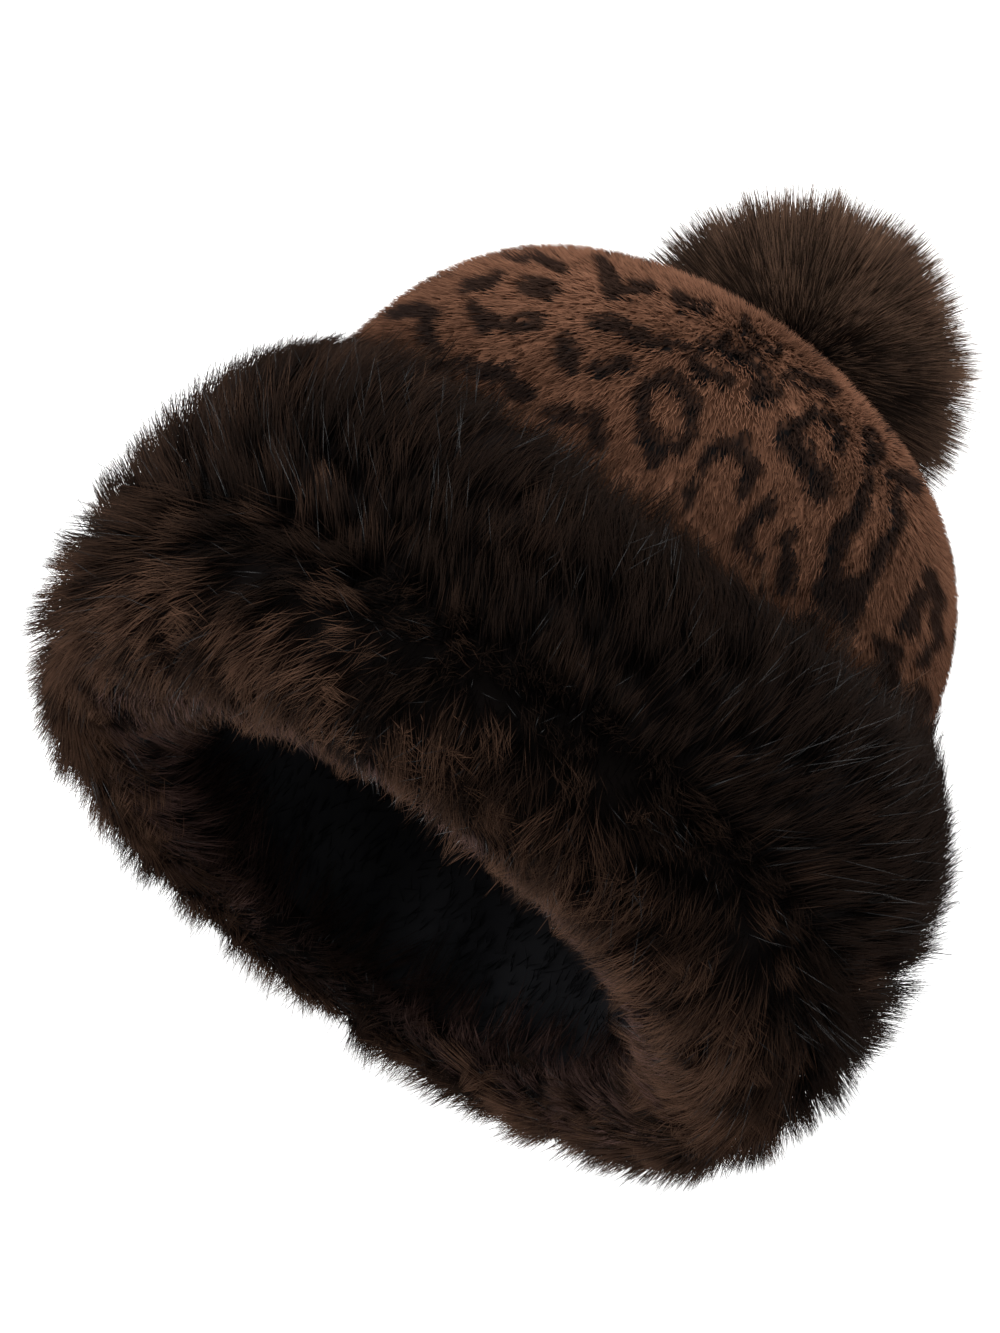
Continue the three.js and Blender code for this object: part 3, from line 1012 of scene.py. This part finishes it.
# %% How the pile lies
pile_growth = Growth(
    spread=0.0013, gather=0.25, length=PILE_LENGTH, stray=0.1, loose=0.4, straight=0.3
)


def pile_sinks(pick, rng):
    """Depths of root, middle and tip: from the skin to about the crown's surface."""
    rise = rng.uniform(PILE_LOW, PILE_HIGH, len(pick)) - pile_loft[pick]
    return PILE_DEPTH + 0 * rise, PILE_DEPTH * 0.4 + 0.5 * rise, rise


pile_run, pile_turn = pile_tufts.T
pile_loft = PILE_LOFT * hill(pile_turn, PILE_LOFT_TURN, PILE_LOFT_SPREAD)
pile_loft = pile_loft * smoothstep(pile_run, PILE_LOFT_FROM, PILE_LOFT_TO)
pile_heading = PILE_SWIRL * waves(pile_run, pile_turn, crown_rng)
pile_heading = pile_heading + crown_rng.normal(0, PILE_SWIRL_STRAY, len(pile_tufts))
pile_facing = crown_normal(pile_run, pile_turn)[:, 2]
pile_radius = pile_radius_at(pile_run)

# %% How light the pile is
PILE_SHADE = 0.06
PILE_TONE = 0.56
PILE_DARKER = 0.48
PILE_STRAY = 0.17
PILE_PAINTED_LIGHT = 0.24
PILE_PAINTED_LIGHT_TURN = 8
PILE_PAINTED_LIGHT_SPREAD = 40

# Waves that make patches of the pile lighter and darker: by how much, their length and turns
Patch = namedtuple("Patch", "more size turns")
PILE_PATCHES = rows_of(Patch, [
    (0.12, 0.02, 6),
    (0.08, 0.006, 20),
])
above_cuff = crown_line(np.interp(pile_run, crown_runs, table_places))[0] - cuff_top(pile_turn)
pile_tone = PILE_TONE - PILE_DARKER * (1 - smoothstep(above_cuff, -CUFF_COVER, PILE_SHADE))
for patch in PILE_PATCHES:
    ripple = waves(pile_run, pile_turn, crown_rng, patch.size, patch.turns)
    pile_tone = pile_tone + patch.more * ripple
# Painted highlight: the pile is lighter on one side, where the light falls on it
pile_tone = pile_tone + PILE_PAINTED_LIGHT * hill(pile_turn, PILE_PAINTED_LIGHT_TURN, PILE_PAINTED_LIGHT_SPREAD)

# %% Grow the pile
PRINT_AT = 0.7
pile_reach = crown_rng.uniform(0.8, 1.1, len(pile_tufts))
for part in range(PILE_PARTS):
    pick, (root, middle, tip) = grow(
        crown_at,
        pile_tufts,
        pile_heading,
        pile_reach,
        pile_radius,
        PILE_COUNT,
        pile_growth,
        pile_sinks,
        crown_rng,
    )
    tone = np.clip(pile_tone[pick] + crown_rng.normal(0, PILE_STRAY, PILE_COUNT), 0, MOST_TONE)
    spot = spots(root + PRINT_AT * (tip - root), pile_facing[pick])
    width = np.full(PILE_COUNT, PILE_WIDTH)
    name = f"crown_pile_{part + 1}"
    crown_pile = put_strands(name, root, None, tip, width, tone, crown_rng, spot)
    finish_piece(crown_pile, "leopard_plush", crown_finish)

# %% [markdown]
# ## The lining
# The lining is a looser, thinner plush, sewn in at the rim only, so it hangs in soft folds. A
# cloth simulation would make them, but six bells of a stated depth give the same folds every
# time. Fuzz grows only where it shows inside the opening.

# %% Lining cloth
LINING_OUTSIDE = CROWN_WALL + CLOTH_GAP
LINING_FUZZ = 0.003
LINING_COLUMNS = 120
LINING_RINGS = 36
CLOTH_ALONG = 0.4
lining_rng = np.random.default_rng(8)
lining_runs = np.linspace(APEX_RUN, CROWN_RUN, LINING_RINGS)
cloth_runs = np.concatenate([lining_runs, lining_runs[::-1]])
cloth_sinks = np.repeat([LINING_OUTSIDE, LINING_OUTSIDE + LINING_WALL], LINING_RINGS)
cloth_points = ring_points(lining_at, cloth_runs, cloth_sinks, LINING_COLUMNS)
cloth_tone = surface_tone(*ring_places_of(cloth_runs, LINING_COLUMNS), lining_rng)
lining_cloth = put_shell("lining_cloth", cloth_points, LINING_COLUMNS, CLOTH_ALONG, cloth_tone)
finish_piece(lining_cloth, "lining_plush", lining_finish, "lining")

# %% Lining fuzz
FUZZ_COUNT = 7000
FUZZ_WIDTH = 0.0003
FUZZ_PITCH = 0.004
FUZZ_SHARE = 0.6
FUZZ_ROOT = 0.0002
FUZZ_SWIRL = 0.5
fuzz_height = CROWN_HEIGHT * FUZZ_SHARE
fuzz_from = float(np.interp(crown_place_at(fuzz_height), table_places, crown_runs))
fuzz_to = CROWN_RUN - FUZZ_PITCH
fuzz_tufts = tuft_grid(fuzz_from, fuzz_to, FUZZ_PITCH, crown_radius_at, lining_rng)
fuzz_heading = math.pi + FUZZ_SWIRL * waves(fuzz_tufts[:, 0], fuzz_tufts[:, 1], lining_rng)
inside = LINING_OUTSIDE + LINING_WALL


def fuzz_sinks(pick, rng):
    """Depths of root, middle and tip: from the cloth into the hollow."""
    rise = LINING_FUZZ * rng.uniform(0.5, 1.1, len(pick))
    return inside - FUZZ_ROOT + 0 * rise, inside + 0.5 * rise, inside + rise


pick, (root, middle, tip) = grow(
    lining_at,
    fuzz_tufts,
    fuzz_heading,
    lining_rng.uniform(0.8, 1.2, len(fuzz_tufts)),
    crown_radius_at(fuzz_tufts[:, 0]) - inside,
    FUZZ_COUNT,
    Growth(spread=0.0018, gather=0.5, length=0.005, stray=0.5, loose=0.3, straight=0.2),
    fuzz_sinks,
    lining_rng,
)
fuzz_tone = np.clip(0.5 + lining_rng.normal(0, 0.25, FUZZ_COUNT), 0, MOST_TONE)
fuzz_width = np.full(FUZZ_COUNT, FUZZ_WIDTH)
lining_fuzz = put_strands("lining_fuzz", root, None, tip, fuzz_width, fuzz_tone, lining_rng)
finish_piece(lining_fuzz, "lining_plush", lining_finish)

# %% [markdown]
# ## The cuff
# The cuff is long-pile fur folded round the rim. Seen between its tufts it is nearly black, so a
# dark closed roll lies under the fur, a good way inside the outline.

# %% Cuff roll
ROLL_SINK = 0.4
ROLL_COLUMNS = 150
ROLL_RINGS = 70
BACKING_RINGS = 16
BACK_SINK = 0.98
ROLL_TONE = 0.2
cuff_rng = np.random.default_rng(3)
roll_runs = np.linspace(0, FUR_RUN, ROLL_RINGS)
back_runs = np.linspace(FUR_RUN, 0, BACKING_RINGS + 2)
roll_points = ring_points(fur_at, roll_runs, np.full(ROLL_RINGS, ROLL_SINK), ROLL_COLUMNS)
back_points = ring_points(fur_at, back_runs, np.full(len(back_runs), BACK_SINK), ROLL_COLUMNS)
roll_places = ring_places_of(np.concatenate([roll_runs, back_runs]), ROLL_COLUMNS)
roll_tone = ROLL_TONE * surface_tone(*roll_places, cuff_rng)
roll_points = np.concatenate([roll_points, back_points])
cuff_roll = put_shell("cuff_roll", roll_points, ROLL_COLUMNS, 0.0, roll_tone)
finish_piece(cuff_roll, "cuff_fur", cuff_finish, "fur_cuff")

# %% [markdown]
# ## The cuff's fur
# The fur parts along a line round the cuff: below it the tufts run over the rim into the
# opening, and above it they run up on to the crown. A particle system could be combed that way
# by hand. Here a table has a row for each kind of fur, and one function grows them all.

# %% Sizes of the fur
FUR_WIDTH = 0.00015
FUR_ROOT = 0.45
FUR_DEEP = 0.14
PARTING_PLACE = 0.62
PARTING_WIDTH = 0.03
PARTING_WANDER = 0.005
STANDING = 0.35
RIM_PLACE = 0.3
OVERLAP = 0.01
SWIRL = 0.32
SWIRL_STRAY = 0.18
TUFT_SPREAD = 0.45
SHORTEST_TUFT = 0.7
LONGEST_TUFT = 1.2
STRAND_STRAY = 0.09
LOOSE_STRANDS = 0.2
STRAND_RISE = 0.0016
parting_run = float(np.interp(PARTING_PLACE, table_places, fur_runs))
rim_run = float(np.interp(RIM_PLACE, table_places, fur_runs))
fur_radii = fur_line(table_places, 0 * table_places)[1]
print("rim at", round(rim_run, 4), "m, parting at", round(parting_run, 4), "m")

# %% Where the fur is full
FULL = 0.0045
FULL_WIDTH = 0.032
FULL_BELOW = 0.01
LONG_HAIRS = 0.045
LONG_LEAST = 0.004
LONG_MOST = 0.0185
DEEP_FROM = 0.003

# At the rim the tufts are shorter and less even than elsewhere, and they stand out more
RIM_WIDTH = 0.025
RIM_SHORTER = 0.42
RIM_UNEVEN = 0.25
RIM_SHORTEST = 0.3
RIM_LONGEST = 1.4
RIM_LIFT = 0.0012
RIM_LIFT_UNEVEN = 0.0022

# Beside the crown the fur is short and lies down
CROWN_EDGE = 0.03
CROWN_SHORTER = 0.5
CROWN_FLATTER = 0.6
CROWN_SINK = 0.002

# Strands that grow a little above the rim are the straightest, so that they hang over it
STRAIGHT_LEAST = 0.42
STRAIGHT_MORE = 0.55
STRAIGHT_OFF = 0.012
STRAIGHT_WIDTH = 0.03

# %% Where the fur is light
LIGHT_FROM = 0.62
DARK_LIGHT = 0.03
# Painted light: the fur above the parting is lighter on one side, where the light falls more
# strongly
SIDE_LIGHT = 0.16
SIDE_TURN = 180
SIDE_SPREAD = 50
CROWN_SIDE_LIGHT = 0.16
CROWN_SIDE_WIDTH = 0.035
# Painted shade where the rim lies in the opening's shade on the floor side
FLOOR_SHADE = 0.9
FLOOR_TURN = 264
FLOOR_SPREAD = 42
FLOOR_WIDTH = 0.03
TUFT_TONES = 0.6
STRAND_TONES = 0.32
DARK_TUFTS = 0.17
DARK_TONE = 0.04
FUR_PATCH = Patch(0.35, 0.012, 14)

# Areas of painted light and shade round the fur: turn and spread in degrees, and how much lighter
# the fur is there, darker where that is less than nothing
Light = namedtuple("Light", "turn spread more")
PAINTED_LIGHT_AREAS = rows_of(Light, [
    (186, 36, 0.23),
    (124, 38, 0.28),
    (14, 32, 0.18),
    (338, 20, -0.18),
])


def fur_radius_at(run):
    """The fur's radius at a distance run from the lining."""
    return np.interp(run, fur_runs, fur_radii)


def cuff_light(run, azimuth, light):
    """How light the fur is: dark where it parts and above that, light towards the rim, with painted
    light on one side above the parting and in some areas round the hat, painted shade in another,
    and painted shade where the rim lies in the opening's shade."""
    below = smoothstep(parting_run - run, 0.0, LIGHT_FROM * (parting_run - rim_run))
    tone = DARK_LIGHT + (light - DARK_LIGHT) * below
    tone = tone + SIDE_LIGHT * hill(azimuth, SIDE_TURN, SIDE_SPREAD) * (1 - below)
    tone = tone + CROWN_SIDE_LIGHT * smoothstep(run, FUR_RUN - CROWN_SIDE_WIDTH, FUR_RUN)
    for area in PAINTED_LIGHT_AREAS:
        tone = tone + area.more * hill(azimuth, area.turn, area.spread) * below
    shade = hill(azimuth, FLOOR_TURN, FLOOR_SPREAD)
    shade = shade * (1 - smoothstep(run, rim_run, rim_run + FLOOR_WIDTH))
    return tone * (1 - FLOOR_SHADE * shade)


# %% Kinds of fur
low_end = parting_run + OVERLAP
high_start = parting_run - OVERLAP
high_end = FUR_RUN - 0.005
guard_end = FUR_RUN - 0.012
tufts_start = rim_run - 0.028
tufts_end = rim_run + 0.024

# Where it starts and ends, its way (1 to the crown, -1 to the lining), strands, tuft spacing,
# length, gather, how far the tips stand out, how much that varies, width and lightness
Fur = namedtuple("Fur", "name low high way count pitch length gather lift vary width light")
FURS = rows_of(Fur, [
    ("fur_inside", 0.004, rim_run, -1, 10500, 0.0075, 0.03, 0.55, 0.0008, 0.0018, 1.1, 0.62),
    ("fur_low", rim_run, low_end, -1, 32500, 0.009, 0.039, 0.72, 0.0014, 0.003, 1.0, 0.66),
    ("fur_high", high_start, high_end, 1, 32500, 0.008, 0.036, 0.62, 0.0008, 0.0024, 1.0, 0.3),
    ("rim_tufts", tufts_start, tufts_end, -1, 9000, 0.014, 0.008, 0.86, 0.0105, 0.0045, 1.1, 0.62),
    ("guard_hair", 0.01, guard_end, -1, 1600, 0.018, 0.031, 0.55, 0.0135, 0.005, 0.9, 0.12),
])
# Fur with a finish other than the cuff's: the fur inside the opening, in a lighter copy of the
# cuff's colours with painted light, and the guard hairs
FUR_FINISH = {"fur_inside": lit_rim_finish, "guard_hair": guard_finish}

# %% Grow the fur


def put_fur(fur):
    """One row of the table: tufts on a grid, combed along the line their way and swirled by
    waves. Near the parting they stand up and near the crown they lie down. Guard hairs take
    the way of the side of the parting that they grow on."""
    tufts = tuft_grid(fur.low, fur.high, fur.pitch, fur_radius_at, cuff_rng)
    run, turn = tufts.T
    swirl = SWIRL * waves(run, turn, cuff_rng) + cuff_rng.normal(0, SWIRL_STRAY, len(tufts))
    from_parting = run - parting_run + cuff_rng.normal(0, PARTING_WANDER, len(tufts))
    upward = from_parting > 0 if fur.name == "guard_hair" else np.full(len(tufts), fur.way > 0)
    heading = swirl + np.where(upward, 0, math.pi)
    lie = STANDING + (1 - STANDING) * smoothstep(np.abs(from_parting), 0, PARTING_WIDTH)
    at_rim = np.exp(-(((run - rim_run) / RIM_WIDTH) ** 2))
    at_crown = smoothstep(run, FUR_RUN - CROWN_EDGE, FUR_RUN)
    reach = lie * cuff_rng.uniform(SHORTEST_TUFT, LONGEST_TUFT, len(tufts))
    reach = reach * (1 - CROWN_SHORTER * at_crown)
    rim_reach = 1 + at_rim * cuff_rng.normal(-RIM_SHORTER, RIM_UNEVEN, len(tufts))
    reach = reach * np.clip(rim_reach, RIM_SHORTEST, RIM_LONGEST)
    full = FULL * np.exp(-(((from_parting + FULL_BELOW) / FULL_WIDTH) ** 2))
    full = full - CROWN_SINK * at_crown
    flat = 1 - CROWN_FLATTER * at_crown
    lift = cuff_rng.normal(fur.lift, fur.vary, len(tufts)) * flat + full
    lift = lift + at_rim * cuff_rng.normal(RIM_LIFT, RIM_LIFT_UNEVEN, len(tufts))
    hanging = np.exp(-(((run - rim_run - STRAIGHT_OFF) / STRAIGHT_WIDTH) ** 2))
    growth = Growth(
        spread=TUFT_SPREAD * fur.pitch,
        gather=fur.gather,
        length=fur.length,
        stray=STRAND_STRAY,
        loose=LOOSE_STRANDS,
        straight=STRAIGHT_LEAST + STRAIGHT_MORE * hanging,
    )

    def sinks(pick, rng):
        """Depths of root, middle and tip. A few long hairs stand further out."""
        rise = lift[pick] + rng.normal(0, STRAND_RISE, len(pick))
        long = rng.uniform(LONG_LEAST, LONG_MOST, len(pick)) * flat[pick]
        rise = np.where(rng.uniform(size=len(pick)) < LONG_HAIRS, long, rise)
        sink = np.where(rise > 0, -rise, FUR_DEEP * np.clip(-rise / DEEP_FROM, 0, 1))
        return np.full(len(pick), FUR_ROOT), FUR_ROOT / 2 + 0.5 * np.maximum(sink, 0), sink

    pick, (root, middle, tip) = grow(
        fur_at, tufts, heading, reach, fur_radius_at(run), fur.count, growth, sinks, cuff_rng
    )
    above = np.flatnonzero(np.minimum(tip[:, 2], middle[:, 2]) > 0)
    pick, root, middle, tip = pick[above], root[above], middle[above], tip[above]
    count = len(above)
    tone = cuff_light(run, turn, fur.light)
    ripple = waves(run, turn, cuff_rng, FUR_PATCH.size, FUR_PATCH.turns)
    tone = tone * (1 + FUR_PATCH.more * ripple)
    tone = tone * np.exp(cuff_rng.normal(-0.05, TUFT_TONES, len(tufts)))
    tone = np.where(cuff_rng.uniform(size=len(tufts)) < DARK_TUFTS, DARK_TONE, tone)
    tone = np.clip(tone[pick] * np.exp(cuff_rng.normal(0, STRAND_TONES, count)), 0, MOST_TONE)
    width = FUR_WIDTH * fur.width * cuff_rng.uniform(0.7, 1.3, count)
    thing = put_strands(fur.name, root, middle, tip, width, tone, cuff_rng)
    finish_piece(thing, "cuff_fur", FUR_FINISH.get(fur.name, cuff_finish))


for fur in FURS:
    put_fur(fur)

# %% [markdown]
# ## The pompom
# A real pompom is a disc of fur gathered to a ball, so its hair fans out from the place where it
# is sewn on. A dark ball with a hollow under it sits on the crown and keeps light from shining
# through, and the hair starts inside its surface.

# %% Pompom core
pom_height = CROWN_HEIGHT + POMPOM_LIFT
pompom_centre = lay(np.array(pom_height), np.array(POMPOM_DROOP), np.array(FLOOR_SIDE))
pompom_centre[0] += POMPOM_SWAY
hat_axis = unit(lay(np.array(pom_height), 0.0, 0.0) - lay(np.array(CROWN_HEIGHT), 0.0, 0.0))
pom_rng = np.random.default_rng(21)
side, other = cross_sides(hat_axis[None, :], pom_rng)


def fan(polar, azimuth):
    """Directions at a polar angle from the hat's axis and an azimuth round it."""
    round_about_axis = side * np.cos(azimuth)[:, None] + other * np.sin(azimuth)[:, None]
    return hat_axis * np.cos(polar)[:, None] + round_about_axis * np.sin(polar)[:, None]


CORE_COLUMNS = 96
CORE_RINGS = 48
CORE_POLAR = math.radians(113)
CORE_RADIUS = 0.55 * POMPOM_RADIUS
CORE_ALONG = 0.1
CORE_TONE = 0.4
CORE_HOLLOW = 0.002
core_turn = np.arange(CORE_COLUMNS) / CORE_COLUMNS * math.tau
core_rows = []
for polar in np.linspace(0.01, CORE_POLAR, CORE_RINGS):
    core_rows.append(pompom_centre + CORE_RADIUS * fan(polar + 0 * core_turn, core_turn))
core_rows.append(pompom_centre + CORE_HOLLOW * fan(CORE_POLAR + 0 * core_turn, core_turn))
core_points = np.concatenate(core_rows)
pompom_core = put_shell("pompom_core", core_points, CORE_COLUMNS, CORE_ALONG, CORE_TONE, loop=False)
finish_piece(pompom_core, "pompom_fur", pompom_finish, "pompom")

# %% [markdown]
# ## The pompom's hair
# The hair is straight and stands in tufts of about the same length, which gives the ball its
# ragged edge. Hair that points back to the crown is left out, because the crown hides it. A few
# long black hairs stand out of the ball.

# %% Pompom fur
POM_STRANDS = 38000
POM_TUFTS = 420
POM_POLAR = math.radians(103)
POM_WIDTH = 0.00026
POM_LONG = 0.016
POM_LONG_LEAST = 1.14
POM_LONG_MOST = 1.42
POM_LONG_WIDTH = 0.6
POM_REACH = 1.09
POM_ROOT = 0.95
POM_SCATTER = 0.1
POM_GATHER = 0.6
POM_STRAY = 0.03
POM_AHEAD = 0.0065
POM_ASIDE = 0.0005
pom_middle = pompom_centre + POM_AHEAD * hat_axis[0] + np.array([POM_ASIDE, 0, 0])
tuft_polar = np.arccos(pom_rng.uniform(math.cos(POM_POLAR), 1, POM_TUFTS))
tuft_turn = pom_rng.uniform(0, math.tau, POM_TUFTS)
tuft_way = fan(tuft_polar, tuft_turn)
tuft_reach = POM_REACH * pom_rng.uniform(0.94, 1.05, POM_TUFTS)
pick = pom_rng.integers(POM_TUFTS, size=POM_STRANDS)
scatter = pom_rng.normal(0, POM_SCATTER, (POM_STRANDS, 3))
root_way = unit(tuft_way[pick] + scatter)
stray = pom_rng.normal(0, POM_STRAY, (POM_STRANDS, 3))
tip_way = unit(tuft_way[pick] + scatter * POM_GATHER + stray)
pom_length = POMPOM_RADIUS * tuft_reach[pick] * pom_rng.uniform(0.82, 1.08, POM_STRANDS)
is_long = pom_rng.uniform(size=POM_STRANDS) < POM_LONG
long_length = POMPOM_RADIUS * pom_rng.uniform(POM_LONG_LEAST, POM_LONG_MOST, POM_STRANDS)
pom_length = np.where(is_long, long_length, pom_length)
root = pompom_centre + root_way * CORE_RADIUS * POM_ROOT
tip = pom_middle + tip_way * pom_length[:, None]

# %% The pompom's tones
POM_SHADE = 0.3
POM_SHADE_FROM = math.radians(50)
POM_TONE = 0.5
POM_TUFT_TONES = 0.2
POM_STRAND_TONES = 0.18
POM_BLACK = 0.02
tuft_tone = pom_rng.normal(POM_TONE, POM_TUFT_TONES, POM_TUFTS)
# Painted shade: tufts that point back towards the crown are darker
tuft_tone = tuft_tone - POM_SHADE * smoothstep(tuft_polar, POM_SHADE_FROM, POM_POLAR)
pom_tone = tuft_tone[pick] + pom_rng.normal(0, POM_STRAND_TONES, POM_STRANDS)
pom_tone = np.clip(np.where(is_long, POM_BLACK, pom_tone), 0, MOST_TONE)
pom_width = POM_WIDTH * pom_rng.uniform(0.7, 1.3, POM_STRANDS)
pom_width = pom_width * np.where(is_long, POM_LONG_WIDTH, 1.0)
pompom_fur = put_strands("pompom_fur", root, None, tip, pom_width, pom_tone, pom_rng)
finish_piece(pompom_fur, "pompom_fur", pompom_finish)

# %% [markdown]
# ## Floor, light and camera
# The hat lies on a white sheet under soft even light. A bright sky with a darker middle lights it
# from all sides, and three large lamps give the tips their soft edge. The camera looks straight
# down from well above, so that the form isn't stretched at the picture's edges.

# %% Floor
floor_mesh = bpy.data.meshes.new("floor")
FLOOR_HALF = 6.0
FLOOR_WHITE = (0.8, 0.8, 0.8, 1)
FLOOR_GLOW = 0.9
floor_sides = ((-1, -1), (1, -1), (1, 1), (-1, 1))
floor_corners = [(FLOOR_HALF * x, FLOOR_HALF * y, 0) for x, y in floor_sides]
floor_mesh.from_pydata(floor_corners, [], [(0, 1, 2, 3)])
floor = bpy.data.objects.new("floor", floor_mesh)
bpy.context.scene.collection.objects.link(floor)
white = bpy.data.materials.new("white_sheet")
white.use_nodes = True
white_shader = white.node_tree.nodes["Principled BSDF"]
white_shader.inputs["Base Color"].default_value = FLOOR_WHITE
white_shader.inputs["Roughness"].default_value = 1.0
white_shader.inputs["Specular IOR Level"].default_value = 0.0
white_shader.inputs["Emission Color"].default_value = (1, 1, 1, 1)
white_shader.inputs["Emission Strength"].default_value = FLOOR_GLOW
floor.data.materials.append(white)

# %% Light
SKY_SIDE_UP = 0.3
SKY_TOP_UP = 0.75
SKY_TOP = 0.4
world = bpy.data.worlds.new("soft_white")
bpy.context.scene.world = world
world.use_nodes = True
sky = world.node_tree
sky_way = sky.nodes.new("ShaderNodeTexCoord")
sky_split = sky.nodes.new("ShaderNodeSeparateXYZ")
sky.links.new(sky_way.outputs["Generated"], sky_split.inputs["Vector"])
sky_stops = [(SKY_SIDE_UP, (1, 1, 1)), (SKY_TOP_UP, (SKY_TOP, SKY_TOP, SKY_TOP))]
sky_colour = ramp(sky, sky_split.outputs["Z"], sky_stops)
sky.links.new(sky_colour, sky.nodes["Background"].inputs["Color"])
sky.nodes["Background"].inputs["Strength"].default_value = 1.0

Lamp = namedtuple("Lamp", "name up right high size power")
LAMPS = rows_of(Lamp, [
    ("top_lamp", 0.9, -0.1, 1.3, 1.2, 22),
    ("left_lamp", 0.2, -1.4, 0.5, 1.0, 12),
    ("right_lamp", 0.1, 1.4, 0.5, 1.0, 12),
])
for lamp in LAMPS:
    light = bpy.data.lights.new(lamp.name, "AREA")
    light.size = lamp.size
    light.energy = lamp.power
    thing = bpy.data.objects.new(lamp.name, light)
    place = sight_point + image_up * lamp.up + image_right * lamp.right
    place[2] += lamp.high
    aim = Vector(sight_point - place)
    turned = aim.to_track_quat("-Z", "Y").to_matrix().to_4x4()
    thing.matrix_world = Matrix.Translation(Vector(place)) @ turned
    bpy.context.scene.collection.objects.link(thing)

# %% Camera
SENSOR = 36.0
camera_data = bpy.data.cameras.new("camera")
camera_data.sensor_fit = "VERTICAL"
camera_data.sensor_height = SENSOR
camera_data.lens = SENSOR * FOCAL / PICTURE_HEIGHT
camera_data.clip_end = 50
camera = bpy.data.objects.new("camera", camera_data)
right_turn = (SIGHT_X - PICTURE_WIDTH / 2) * EYE_DISTANCE / FOCAL
up_turn = (PICTURE_HEIGHT / 2 - SIGHT_Y) * EYE_DISTANCE / FOCAL
target = sight_point - image_right * right_turn - image_up * up_turn
back = Vector(eye - target).normalized()
across = Vector(image_up).cross(back).normalized()
upward = back.cross(across)
turned = Matrix((across, upward, back)).transposed().to_4x4()
camera.matrix_world = Matrix.Translation(Vector(eye)) @ turned
bpy.context.scene.collection.objects.link(camera)
bpy.context.scene.camera = camera
bpy.context.scene.view_settings.view_transform = "Standard"
bpy.context.scene.view_settings.look = "None"
